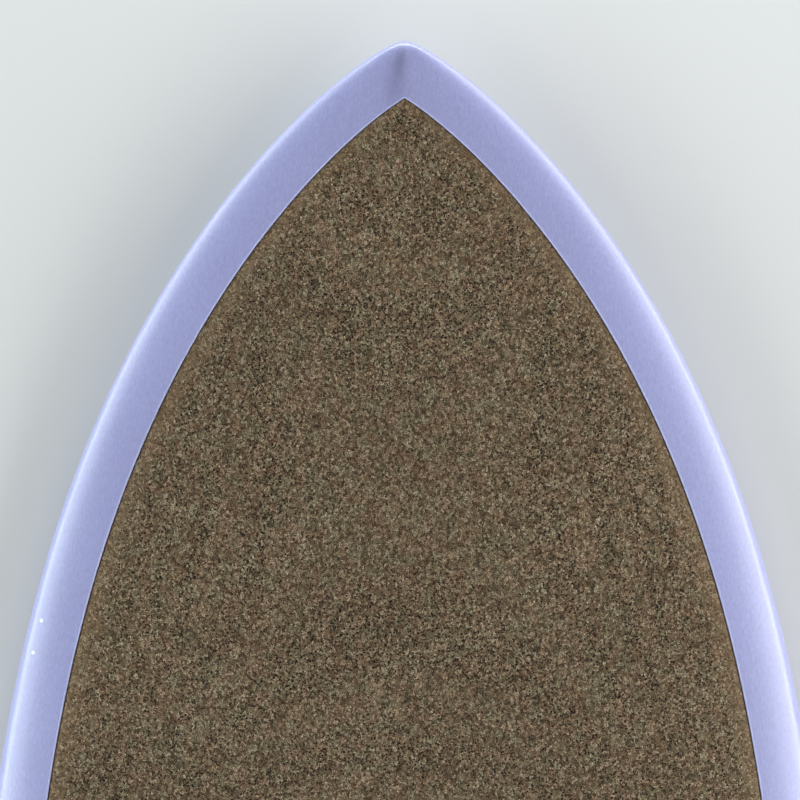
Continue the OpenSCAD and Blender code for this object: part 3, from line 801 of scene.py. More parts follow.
@dataclass(frozen=True)
class HoneycombLaminate:
    """Clear gloss laminate over a hexagon core, as in a light fin."""

    cell: float = 5.2 * MM
    face: Rgb = linear(186, 194, 222)
    wall: Rgb = linear(120, 130, 168)
    edge: Rgb = linear(142, 146, 190)

    def build(self) -> bpy.types.Material:
        """Makes the material."""
        s = Sketch("honeycomb_laminate")
        size = 1 / self.cell
        flat = s.placed((size, 0, size))
        turned = s.node("Mapping", {"Vector": flat, "Rotation": (math.pi / 2, 0, 0)}).outputs[0]
        period = (1.0, math.sqrt(3), 1.0)
        half = (0.5, math.sqrt(3) / 2, 0.0)

        def nearest(coords: Any) -> Any:
            """Place within one of the two rectangular lattices."""
            wrapped = s.vector("WRAP", coords, period, (0.0, 0.0, 0.0))
            return s.vector("MULTIPLY", s.vector("SUBTRACT", wrapped, half), (1, 1, 0))

        first = nearest(turned)
        second = nearest(s.vector("SUBTRACT", turned, half))
        pick = s.math("LESS_THAN", s.vector("LENGTH", first), s.vector("LENGTH", second))
        local = s.node("Mix", {0: pick, 4: second, 5: first}, data_type="VECTOR").outputs[1]
        folded = s.vector("ABSOLUTE", local)
        across = s.vector("DOT_PRODUCT", folded, (1.0, 0.0, 0.0))
        slanted = s.vector("DOT_PRODUCT", folded, (0.5, math.sqrt(3) / 2, 0.0))
        reach = s.math("MAXIMUM", across, slanted)
        wall = s.span(reach, 0.43, 0.48, 0.0, 1.0)
        rim = s.node("Attribute", attribute_name="rim").outputs["Fac"]
        tint = s.blend("MIX", wall, self.face, self.wall)
        tint = s.blend("MIX", s.span(rim, 0.35, 0.6, 0.0, 1.0), tint, self.edge)
        tint = s.blend(
            "MULTIPLY", 1.0, tint, s.ramp(s.noise(60.0, 2.0), ((0.3, 0.94), (0.7, 1.04)))
        )
        cloth = s.noise(1.0, 1.0, s.placed((1600, 1600, 1600), (0, 45, 0)))
        return s.done(
            {
                "Base Color": tint,
                "Roughness": s.span(cloth, 0.3, 0.7, 0.16, 0.28),
                "Coat Weight": 0.6,
                "Coat Roughness": 0.08,
                "Specular IOR Level": 0.5,
                "Normal": s.bump(cloth, 0.02 * MM, 0.3),
            }
        )


@dataclass(frozen=True)
class Foam:
    """Foam of pressed beads."""

    name: str
    colour: Rgb
    bead: float

    def build(self) -> bpy.types.Material:
        """Makes the material."""
        s = Sketch(self.name)
        beads = s.cells(1 / self.bead, s.coords, "DISTANCE_TO_EDGE").outputs["Distance"]
        seam = s.span(beads, 0.0, 0.12, 0.0, 1.0)
        return s.done(
            {
                "Base Color": s.blend("MIX", seam, tuple(c * 0.8 for c in self.colour), self.colour),
                "Roughness": 0.9,
                "Normal": s.bump(seam, self.bead * 0.1, 0.5),
            }
        )


@dataclass(frozen=True)
class Timber:
    """Thin plywood with its grain along the board."""

    def build(self) -> bpy.types.Material:
        """Makes the material."""
        s = Sketch("stringer_wood")
        grain = s.noise(1.0, 4.0, s.placed((14, 600, 420)), 0.6)
        tint = s.ramp(grain, ((0.3, linear(168, 124, 80)), (0.7, linear(212, 176, 128))))
        return s.done({"Base Color": tint, "Roughness": 0.7, "Normal": s.bump(grain, 0.1 * MM, 0.5)})


# ------------------------------------------------------------------ the shell and the cork
@dataclass
class HullLaminate:
    """Laminate of bottom, rails and nose, with the opening that the cork lies in."""

    shape: BoardShape
    cork: CorkOutline
    wall: float = 0.9
    deck_cells: int = 10
    band_cells: int = 20
    belly_cells: int = 26
    corner_cells: int = 26
    plain_cells: int = 105
    fine_cells: int = 70
    point_cells: int = 22
    nose_cells: int = 40
    fine_from: float = 1330.0
    point_run: float = 40.0
    least_gap: float = 0.02
    nose_closes_in: float = 2.0
    full_wall_from: float = 8.0
    least_wall: float = 0.02
    stations: list[float] = field(default_factory=list)

    def __post_init__(self) -> None:
        """Works out the stations, crowded at the tail, the cork's point and the nose."""
        length, tip = self.shape.length, self.cork.tip
        radius = self.shape.tail_corner_r
        turns = (math.pi / 2 * k / self.corner_cells for k in range(self.corner_cells))
        corner = [radius * (1 - math.cos(turn)) for turn in turns]
        point, fine = self.point_run, self.fine_from
        self.stations = sorted(
            {
                *(round(x, 4) for x in corner),
                round(self.cork.back, 4),
                *(round(x, 4) for x in spaced(radius, fine, self.plain_cells)),
                *(round(x, 4) for x in spaced(fine, tip - point, self.fine_cells)),
                *(round(tip - d, 4) for d in spaced(0.0, point, self.point_cells, 1.5)),
                *(round(length - d, 4) for d in spaced(0.0, length - tip, self.nose_cells, 2.0)),
            }
        )
        self.stations = [
            x
            for x, after in zip(self.stations, self.stations[1:] + [math.inf])
            if after - x > self.least_gap or x in (round(self.cork.back, 4), round(tip, 4))
        ]

    @property
    def around(self) -> int:
        """Cells round a whole station."""
        return 2 * (self.deck_cells + self.band_cells + self.belly_cells)

    @cached_property
    def _edges(self) -> dict[float, float]:
        """Half-width, at each station, of the column that follows the cork's edge."""
        return {x: self._opening_edge(x) for x in self.stations}

    def _opening_edge(self, x: float) -> float:
        """Half-width of the column that follows the cork's edge, at any x."""
        half, tip, back = self.shape.half_width(x), self.cork.tip, self.cork.back
        if x < back:
            share = self.cork.edge(back) / self.shape.half_width(back)
            return share * half
        if x < tip:
            return self.cork.edge(x)
        return 0.5 * half * (x - tip) / (self.shape.length - tip)

    def _section(self, x: float, column: int) -> tuple[float, float]:
        """Place across and height of a column from the deck's middle round to the keel."""
        half = max(self.shape.half_width(x), 1e-6)
        edge = self._edges[x]
        first, second = self.deck_cells, self.deck_cells + self.band_cells
        if column <= first:
            y = edge * column / first
            return y, self.shape.deck_at(x, y)
        if column <= second:
            lean = math.asin(min(edge / half, 1.0))
            y = half * math.sin(lean + (math.pi / 2 - lean) * (column - first) / self.band_cells)
            return y, self.shape.deck_at(x, y)
        last = second + self.belly_cells
        y = half * math.sin(math.pi / 2 * (last - column) / self.belly_cells)
        return y, self.shape.bottom_at(x, y)

    def _place(self, station: int, step: int) -> tuple[float, float, float]:
        """Place of a grid vertex on the board's skin."""
        x = self.stations[station]
        half_way = self.around // 2
        column, side = (step, 1) if step <= half_way else (self.around - step, -1)
        y, z = self._section(x, column)
        closing = self.shape.length - x
        pull = math.sqrt(max(1 - (1 - min(closing / self.nose_closes_in, 1.0)) ** 2, 0.0))
        return x, side * y * pull, z

    def build(self, openings: Sequence[bpy.types.Mesh]) -> bpy.types.Mesh:
        """Makes the whole skin with its opening.

        Args:
            openings: Cutters for what is let into the bottom.

        Returns:
            The mesh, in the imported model's frame.
        """
        bm, cells = warped_grid(len(self.stations) - 1, self.around, self._place)
        back = self.stations.index(round(self.cork.back, 4))
        front = self.stations.index(round(self.cork.tip, 4))
        gone = [
            face
            for face, (station, step) in cells.items()
            if back <= station < front
            and (step < self.deck_cells or step >= self.around - self.deck_cells)
        ]
        bmesh.ops.delete(bm, geom=gone, context="FACES")
        bmesh.ops.remove_doubles(bm, verts=bm.verts[:], dist=0.004)
        bmesh.ops.dissolve_degenerate(bm, edges=bm.edges[:], dist=0.003)
        bmesh.ops.recalc_face_normals(bm, faces=bm.faces[:])
        group = bm.verts.layers.deform.verify()
        for vertex in bm.verts:
            share = self.shape.thickness(vertex.co.x) / self.full_wall_from
            vertex[group][0] = min(max(share, self.least_wall), 1.0)
        bmesh.ops.transform(bm, matrix=self.shape.lay_down, verts=bm.verts[:])
        mesh = bpy.data.meshes.new("hull_laminate")
        bm.to_mesh(mesh)
        bm.free()

        def set_up(scratch: bpy.types.Object) -> None:
            """Gives the skin its thickness, inwards."""
            scratch.vertex_groups.new(name="wall")
            solid = scratch.modifiers.new("wall", "SOLIDIFY")
            solid.thickness = self.wall * MM
            solid.offset = -1.0
            solid.vertex_group = "wall"
            solid.thickness_vertex_group = 0.0

        skin = cut_with(applied(mesh, set_up), openings, "DIFFERENCE")
        skin.shade_smooth()
        skin.set_sharp_from_angle(angle=math.radians(50))
        return skin


@dataclass
class BandLip:
    """Fine rounded bead along the laminate's edge round the cork."""

    shape: BoardShape
    cork: CorkOutline
    half_across: float = 0.42
    half_high: float = 0.16
    tuck: float = 0.1
    sides: int = 10
    rear_run: float = 20.0
    point_run: float = 60.0
    rear_cells: int = 12
    side_cells: int = 150
    point_cells: int = 34
    back_cells: int = 16

    def _path(self) -> list[tuple[float, float]]:
        """Closed run of places along the cork's edge, in plan."""
        tip, back = self.cork.tip, self.cork.back
        along = spaced(back, back + self.rear_run, self.rear_cells, 1.6)
        along += spaced(back + self.rear_run, tip - self.point_run, self.side_cells)
        along += [tip - d for d in reversed(spaced(0.0, self.point_run, self.point_cells, 1.5))]
        left = [(x, self.cork.edge(x)) for x in along]
        right = [(x, -y) for x, y in reversed(left[:-1])]
        half = left[0][1]
        cells = self.back_cells
        rear = [(back, -half + 2 * half * k / cells) for k in range(1, cells)]
        return left + right + rear

    def build(self) -> bpy.types.Mesh:
        """Makes the bead.

        Returns:
            The mesh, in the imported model's frame.
        """
        path = self._path()
        count = len(path)

        def place(step: int, turn: int) -> tuple[float, float, float]:
            """Place of a grid vertex on the bead."""
            here = Vector(path[step % count])
            way = Vector(path[(step + 1) % count]) - Vector(path[(step - 1) % count])
            out = Vector((way.y, -way.x)).normalized() * -1.0
            angle = math.tau * turn / self.sides
            reach = self.half_across * (1 + math.cos(angle)) - self.tuck
            spot = here + out * reach
            height = self.shape.deck_at(*here) + self.half_high * math.sin(angle)
            return spot.x, spot.y, height

        bm, _ = warped_grid(count, self.sides, place)
        bmesh.ops.remove_doubles(bm, verts=bm.verts[:], dist=0.002)
        bmesh.ops.recalc_face_normals(bm, faces=bm.faces[:])
        return finish_mesh(bm, "band_lip", self.shape.lay_down, 80.0)


@dataclass
class CorkInlay:
    """Cork sheet let into the deck, a little below the laminate round it."""

    shape: BoardShape
    cork: CorkOutline
    half_cells: int = 26
    ease: float = 0.9
    drop: float = 0.7
    rear_run: float = 20.0
    point_run: float = 60.0
    rim_reach: float = 16.0

    def _stations(self) -> list[float]:
        """Places along the sheet."""
        back, tip = self.cork.back + self.cork.edge_gap, self.cork.tip
        rear, point = back + self.rear_run, self.point_run
        places = [back, back + 0.3, back + self.ease] + spaced(back + 2, rear, 10)
        places += spaced(rear, tip - point, 170)
        return places + [tip - d for d in reversed(spaced(0.25, point, 34, 1.6))]

    def build(self, holes: Sequence[bpy.types.Mesh]) -> bpy.types.Mesh:
        """Makes the sheet.

        Args:
            holes: Cutters for what is let into the cork.

        Returns:
            The mesh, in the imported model's frame.
        """
        places = self._stations()
        shares = [math.sin(math.radians(80) * k / self.half_cells) for k in range(self.half_cells)]
        columns = [s / shares[-1] for s in shares]
        rims = (self.ease / 2, 0.0)
        cells = 2 * (len(columns) - 1 + len(rims))
        rear = places[0]

        def inward(x: float, step: int) -> tuple[float, float]:
            """Place across at a step, and the distance from the sheet's edge there."""
            column = abs(step - cells // 2)
            side = 1 if step > cells // 2 else -1
            edge = max(self.cork.edge(x) - self.cork.edge_gap, 0.0)
            if column < len(columns):
                y = max(edge - self.ease, 0.0) * columns[column]
            else:
                y = max(edge - rims[column - len(columns)], 0.0)
            return side * y, edge - y

        def place(station: int, step: int) -> tuple[float, float, float]:
            """Place of a grid vertex on the sheet's top."""
            x = places[station]
            y, from_edge = inward(x, step)
            near = min(from_edge, x - rear)
            fall = self.drop * max(1 - near / self.ease, 0.0) ** 2
            return x, y, self.shape.deck_at(x, y) - self.cork.recess - fall

        bm, _ = warped_grid(len(places) - 1, cells, place)
        bmesh.ops.remove_doubles(bm, verts=bm.verts[:], dist=0.002)
        bmesh.ops.recalc_face_normals(bm, faces=bm.faces[:])
        if sum(face.normal.z * face.calc_area() for face in bm.faces) < 0:
            bmesh.ops.reverse_faces(bm, faces=bm.faces[:])
        # rim: how near a vertex lies to the sheet's edge, where the cork material paints light.
        rim = bm.verts.layers.float.new("rim")
        for vertex in bm.verts:
            x, y = vertex.co.x, abs(vertex.co.y)
            away = min(self.cork.edge(x) - y, x - rear) if x < self.cork.tip else 0.0
            vertex[rim] = 1.0 - smooth_step(away / self.rim_reach)
        bmesh.ops.transform(bm, matrix=self.shape.lay_down, verts=bm.verts[:])
        mesh = bpy.data.meshes.new("cork_inlay")
        bm.to_mesh(mesh)
        bm.free()

        def set_up(scratch: bpy.types.Object) -> None:
            """Gives the sheet its thickness, downwards."""
            solid = scratch.modifiers.new("sheet", "SOLIDIFY")
            solid.thickness = (self.cork.cork_thickness - self.drop) * MM
            solid.offset = -1.0

        return cut_with(applied(mesh, set_up), holes, "DIFFERENCE")


# ------------------------------------------------------------------ places on the board
@dataclass(frozen=True)
class Side:
    """One of the three places for a fin."""

    name: str
    sign: int
    from_tail: float
    from_rail: float
    depth: float
    cant: float = 6.0
    toe: float = 2.5
    base: float = 111.0


class FinPlace(Enum):
    """The three fins."""

    LEFT = Side("left", 1, 280.0, 36.0, 115.0)
    RIGHT = Side("right", -1, 280.0, 36.0, 115.0)
    CENTER = Side("center", 0, 89.0, 0.0, 112.0)


def turned_by(x: float, y: float, z: float) -> Matrix:
    """Turn about x, then y, then z, in degrees."""
    return Euler((math.radians(x), math.radians(y), math.radians(z)), "XYZ").to_matrix().to_4x4()


@dataclass(frozen=True)
class Places:
    """Frames on the board's surfaces in which fins and plugs are built."""

    shape: BoardShape
    cork: CorkOutline
    leash_x: float = 52.0
    vent_x: float = 262.0
    vent_y: float = 28.0

    def fin(self, side: Side, with_cant: bool) -> Matrix:
        """Frame on the bottom at a fin: x forward along its base, z into the board.

        Args:
            side: Which fin.
            with_cant: Whether the frame leans with the blade.

        Returns:
            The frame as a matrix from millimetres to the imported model's metres.
        """
        x = side.from_tail + side.base / 2
        y = side.sign * (self.shape.half_width(x) - side.from_rail)
        along, across = self.shape.slopes(self.shape.bottom_at, x, y)
        roll = math.degrees(math.atan(across))
        turn = turned_by(roll, -math.degrees(math.atan(along)), -side.sign * side.toe)
        spot = Matrix.Translation((x, y, self.shape.bottom_at(x, y)))
        lean = turned_by(side.sign * side.cant - roll if with_cant else 0.0, 0, 0)
        return self.shape.lay_down @ spot @ turn @ lean

    def plug(self, x: float, y: float) -> Matrix:
        """Frame on the cork's surface: z out of the deck."""
        along, across = self.shape.slopes(self.shape.deck_at, x, y)
        turn = turned_by(math.degrees(math.atan(across)), -math.degrees(math.atan(along)), 0)
        spot = Matrix.Translation((x, y, self.shape.deck_at(x, y) - self.cork.recess))
        return self.shape.lay_down @ spot @ turn

    @property
    def leash(self) -> Matrix:
        """Frame at the leash plug."""
        return self.plug(self.leash_x, 0.0)

    @property
    def vent(self) -> Matrix:
        """Frame at the air vent."""
        return self.plug(self.vent_x, self.vent_y)


# ------------------------------------------------------------------ fins
@dataclass
class Fin:
    """Raked fin with two tabs."""

    places: Places
    side: Side
    rake: float = 70.0
    sweep: float = 2.2
    chord_powers: tuple[float, float] = (1.4, 0.8)
    thickness: float = 6.6
    thinning: float = 0.6
    blunt: float = 0.08
    foil_front: float = 0.7
    lift: float = 0.3
    levels: int = 44
    around: int = 28
    tab: tuple[float, float, float] = (26.0, 6.0, 12.0)
    tab_spacing: float = 84.0
    tab_root: float = 1.3
    tab_edge_r: float = 0.6
    clear_rim: float = 2.0
    rim_fade: float = 5.0

    def _chord(self, share: float) -> float:
        """Length of the blade's section at a share of its depth."""
        taper, fill = self.chord_powers
        return self.side.base * max(1 - share**taper, 0) ** fill

    def _middle(self, share: float) -> float:
        """Place of the middle of the blade's section at a share of its depth."""
        return -self.rake * share**self.sweep

    def _place(self, level: int, step: int) -> tuple[float, float, float]:
        """Place of a grid vertex on the blade, in the fin's own frame."""
        share = math.sin(math.pi / 2 * level / self.levels)
        chord = self._chord(share)
        half = self.thickness / 2 * (chord / self.side.base) ** self.thinning
        turn = math.tau * step / (2 * self.around)
        along = (1 - math.cos(turn)) / 2
        face = 1 if turn <= math.pi else -1
        swell = math.sin(math.pi * along**self.foil_front)
        edge = self.blunt * math.sqrt(max(1 - (2 * along - 1) ** 2, 0.0)) ** 0.5
        y = face * half * (swell + edge)
        depth = self.side.depth * share * 0.997
        return self._middle(share) + chord * (0.5 - along), y, -depth - self.lift

    def build(self) -> bpy.types.Mesh:
        """Makes the blade and its tabs.

        Returns:
            The mesh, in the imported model's frame.
        """
        bm, _ = warped_grid(self.levels, 2 * self.around, self._place)
        bmesh.ops.remove_doubles(bm, verts=bm.verts[:], dist=0.02)
        bmesh.ops.holes_fill(bm, edges=[e for e in bm.edges if e.is_boundary], sides=0)
        bmesh.ops.recalc_face_normals(bm, faces=bm.faces[:])
        place = self.places.fin(self.side, with_cant=True)
        mesh = finish_mesh(bm, f"fin_blade_{self.side.name}", place)
        tabs = []
        long, thick, deep = self.tab
        root = self.tab_root
        for end in (-1, 1):
            tab = rounded_block((long, thick, deep + root), self.tab_edge_r, 3)
            bmesh.ops.translate(
                tab, vec=(end * self.tab_spacing / 2, 0, (deep - root) / 2), verts=tab.verts[:]
            )
            tabs.append(finish_mesh(tab, "tab", place))
        joined = cut_with(mesh, tabs, "UNION")
        joined.shade_smooth()
        joined.set_sharp_from_angle(angle=math.radians(50))
        self._mark_rim(joined, place)
        return joined

    def _mark_rim(self, mesh: bpy.types.Mesh, place: Matrix) -> None:
        """Marks how near each vertex lies to the blade's edge, for the solid resin there."""
        rim = mesh.attributes.new("rim", "FLOAT", "POINT")
        back = place.inverted()
        values = []
        for vertex in mesh.vertices:
            spot = back @ vertex.co
            share = min(max(-spot.z / self.side.depth, 0.0), 1.0)
            off = abs(spot.x - self._middle(share))
            inside = min(self._chord(share) / 2 - off, -spot.z + 1)
            values.append(1 - smooth_step((inside - self.clear_rim) / self.rim_fade))
        rim.data.foreach_set("value", values)


# ------------------------------------------------------------------ what is let into the board
@dataclass(frozen=True)
class FinBoxOpening:
    """Opening in the laminate at a fin box: two rounded lobes and the waist between them."""

    places: Places
    lobe_r: float = 13.98
    lobe_run: float = 8.03
    lobe_spacing: float = 84.0
    waist: float = 16.0
    reach: float = 9.0
    gap: float = 0.1
    arc_steps: int = 24

    def _outline(self) -> list[tuple[float, float]]:
        """Places round the opening: one lobe's three arcs, then the same turned half round."""
        radius = self.lobe_r + self.gap
        near = (self.lobe_spacing - self.lobe_run) / 2
        far = (self.lobe_spacing + self.lobe_run) / 2
        quarter = math.pi / 2
        waist = math.asin((self.waist / 2 + self.gap) / radius)
        lobe = []
        for middle, start, stop in (
            (near, -math.pi + waist, -quarter),
            (far, -quarter, quarter),
            (near, quarter, math.pi - waist),
        ):
            for k in range(self.arc_steps + 1):
                angle = start + (stop - start) * k / self.arc_steps
                lobe.append((middle + radius * math.cos(angle), radius * math.sin(angle)))
        return lobe + [(-x, -y) for x, y in lobe]

    def build(self, side: Side) -> bpy.types.Mesh:
        """Makes the cutter for one fin.

        Args:
            side: Which fin.

        Returns:
            The closed cutter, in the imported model's frame.
        """
        outline = self._outline()
        bm = bmesh.new()
        low, high = (
            [bm.verts.new((x, y, z)) for x, y in outline] for z in (-self.reach, self.reach)
        )
        bm.faces.new(low)
        bm.faces.new(high)
        for k in range(len(outline)):
            bm.faces.new((low[k - 1], low[k], high[k], high[k - 1]))
        bmesh.ops.recalc_face_normals(bm, faces=bm.faces[:])
        return finish_mesh(bm, "opening", self.places.fin(side, with_cant=False))


@dataclass
class LeashPlug:
    """Moulded cup near the tail with a steel pin across it."""

    places: Places
    cup_r: float = 11.0
    cup_depth: float = 14.0
    barrel_r: float = 14.0
    flange_r: float = 16.0
    flange_t: float = 3.05
    depth: float = 15.6
    groove_r: float = 13.6
    groove: float = 0.35
    pin_r: float = 1.5
    pin_length: float = 27.0
    pin_depth: float = 5.5
    bore_fit: float = 0.04
    hole_fit: float = 0.15
    hole_depth: float = 16.0
    steps: int = 96

    def opening(self) -> bpy.types.Mesh:
        """Cutter for the hole in the cork."""
        disc = round_bar(self.flange_r + self.hole_fit, self.hole_depth, self.steps, 0.01)
        return finish_mesh(disc, "leash_opening", self.places.leash)

    def _pin(self, radius: float, length: float, soften: float) -> bmesh.types.BMesh:
        """A bar across the cup, in the plug's frame."""
        bar = round_bar(radius, length, 40, soften)
        turn = Matrix.Rotation(math.pi / 2, 4, "X")
        move = Matrix.Translation((0, 0, -self.pin_depth))
        bmesh.ops.transform(bar, matrix=move @ turn, verts=bar.verts[:])
        return bar

    def build_cup(self) -> bpy.types.Mesh:
        """Makes the cup.

        Returns:
            The mesh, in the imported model's frame.
        """
        ring, half = self.groove_r, self.groove
        profile = eased(
            [
                (0, -self.depth, 0),
                (self.barrel_r, -self.depth, 0.6),
                (self.barrel_r, -self.flange_t, 0.2),
                (self.flange_r, -self.flange_t, 0.2),
                (self.flange_r, 0, 0.5),
                (ring + half, 0, 0.12),
                (ring + half * 0.4, -half * 0.8, 0.1),
                (ring - half * 0.4, -half * 0.8, 0.1),
                (ring - half, 0, 0.12),
                (self.cup_r, 0, 0.7),
                (self.cup_r, -self.cup_depth, 1.6),
                (0, -self.cup_depth, 0),
            ]
        )
        cup = finish_mesh(turned_shape(profile, self.steps), "leash_cup", self.places.leash, 40.0)
        bore = finish_mesh(
            self._pin(self.pin_r + self.bore_fit, 2 * self.flange_r, 0.01),
            "pin_bore",
            self.places.leash,
        )
        return cut_with(cup, [bore], "DIFFERENCE")

    def build_pin(self) -> bpy.types.Mesh:
        """Makes the pin.

        Returns:
            The mesh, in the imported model's frame.
        """
        return finish_mesh(
            self._pin(self.pin_r, self.pin_length, 0.3), "leash_pin", self.places.leash
        )


@dataclass
class AirVent:
    """Moulded insert in the deck and the screw that closes it."""

    places: Places
    flange_r: float = 11.0
    flange_t: float = 3.05
    barrel_r: float = 8.0
    depth: float = 16.0
    well_r: float = 6.6
    well_depth: float = 3.6
    shelf: float = 12.5
    thread_r: float = 4.0
    floor_hole_r: float = 1.5
    head_r: float = 6.2
    head_t: float = 1.8
    head_sink: float = 0.4
    thread_length: float = 7.0
    thread_pitch: float = 1.25
    thread_depth: float = 0.5
    thread_start: float = 0.5
    thread_fit: float = 0.05
    bleed_r: float = 1.0
    scallops: int = 24
    scallop_depth: float = 0.14
    scallop_reach: float = 0.6
    slot: tuple[float, float] = (1.4, 1.0)
    hole_fit: float = 0.15
    hole_depth: float = 16.0
    steps: int = 96

    def opening(self) -> bpy.types.Mesh:
        """Cutter for the hole in the cork."""
        disc = round_bar(self.flange_r + self.hole_fit, self.hole_depth, self.steps, 0.01)
        return finish_mesh(disc, "vent_opening", self.places.vent)

    def build_housing(self) -> bpy.types.Mesh:
        """Makes the insert.

        Returns:
            The mesh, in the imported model's frame.
        """
        ring = eased(
            [
                (self.floor_hole_r, -self.depth, 0),
                (self.barrel_r, -self.depth, 0.5),
                (self.barrel_r, -self.flange_t, 0.2),
                (self.flange_r, -self.flange_t, 0.2),
                (self.flange_r, 0, 0.5),
                (9.2, 0, 0.12),
                (9.0, -0.25, 0.1),
                (8.7, -0.25, 0.1),
                (8.5, 0, 0.12),
                (self.well_r, 0, 0.4),
                (self.well_r, -self.well_depth, 0.3),
                (self.thread_r + self.thread_fit, -self.well_depth, 0.3),
                (self.thread_r + self.thread_fit, -self.shelf, 0.2),
                (self.floor_hole_r, -self.shelf, 0),
            ]
        )
        bm = turned_shape([*ring, ring[0]], self.steps)
        return finish_mesh(bm, "vent_housing", self.places.vent, 40.0)

    def build_screw(self) -> bpy.types.Mesh:
        """Makes the screw, with a scalloped head, a coin slot and a bleed hole.

        Returns:
            The mesh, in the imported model's frame.
        """
        top, under = -self.head_sink, -self.head_sink - self.head_t
        core_r = self.thread_r - self.thread_depth
        corners = [
            (self.bleed_r, under - self.thread_length, 0),
            (core_r, under - self.thread_length, 0.2),
        ]
        turns = int(self.thread_length / self.thread_pitch)
        for k in range(turns):
            low = under - self.thread_length + self.thread_start + k * self.thread_pitch
            corners += [
                (core_r, low, 0.08),
                (self.thread_r, low + self.thread_pitch * 0.4, 0.08),
                (self.thread_r, low + self.thread_pitch * 0.6, 0.08),
                (core_r, low + self.thread_pitch, 0.08),
            ]
        corners += [
            (core_r, under, 0.05),
            (self.head_r, under, 0.3),
            (self.head_r, top, 0.5),
            (self.bleed_r, top, 0),
        ]
        profile = eased(corners)
        bm = turned_shape([*profile, profile[0]], self.steps)
        for vertex in bm.verts:
            radius = math.hypot(vertex.co.x, vertex.co.y)
            if radius > self.head_r - self.scallop_reach:
                wave = 1 + math.cos(self.scallops * math.atan2(vertex.co.y, vertex.co.x))
                shrink = 1 - self.scallop_depth * wave / radius
                vertex.co.x *= shrink
                vertex.co.y *= shrink
        screw = finish_mesh(bm, "vent_screw", self.places.vent, 40.0)
        wide, deep = self.slot
        slot = rounded_block((2 * self.head_r + 2, wide, 2 * deep), 0.15, 2)
        bmesh.ops.translate(slot, vec=(0, 0, top), verts=slot.verts[:])
        return cut_with(screw, [finish_mesh(slot, "slot", self.places.vent)], "DIFFERENCE")


# ------------------------------------------------------------------ studio
@dataclass(frozen=True)
class Softbox:
    """A rectangular lamp."""

    name: str
    place: Spot
    aim: Spot
    size: tuple[float, float]
    watts: float
    tint: Rgb = (1.0, 1.0, 1.0)

    def build(self) -> None:
        """Puts the lamp in the scene."""
        lamp = bpy.data.lights.new(self.name, "AREA")
        lamp.shape = "RECTANGLE"
        lamp.size, lamp.size_y = self.size
        lamp.energy = self.watts
        lamp.color = self.tint
        holder = bpy.data.objects.new(self.name, lamp)
        holder.location = self.place
        way = Vector(self.aim) - Vector(self.place)
        holder.rotation_mode = "QUATERNION"
        holder.rotation_quaternion = way.to_track_quat("-Z", "Y")
        holder.visible_camera = False
        bpy.context.scene.collection.objects.link(holder)


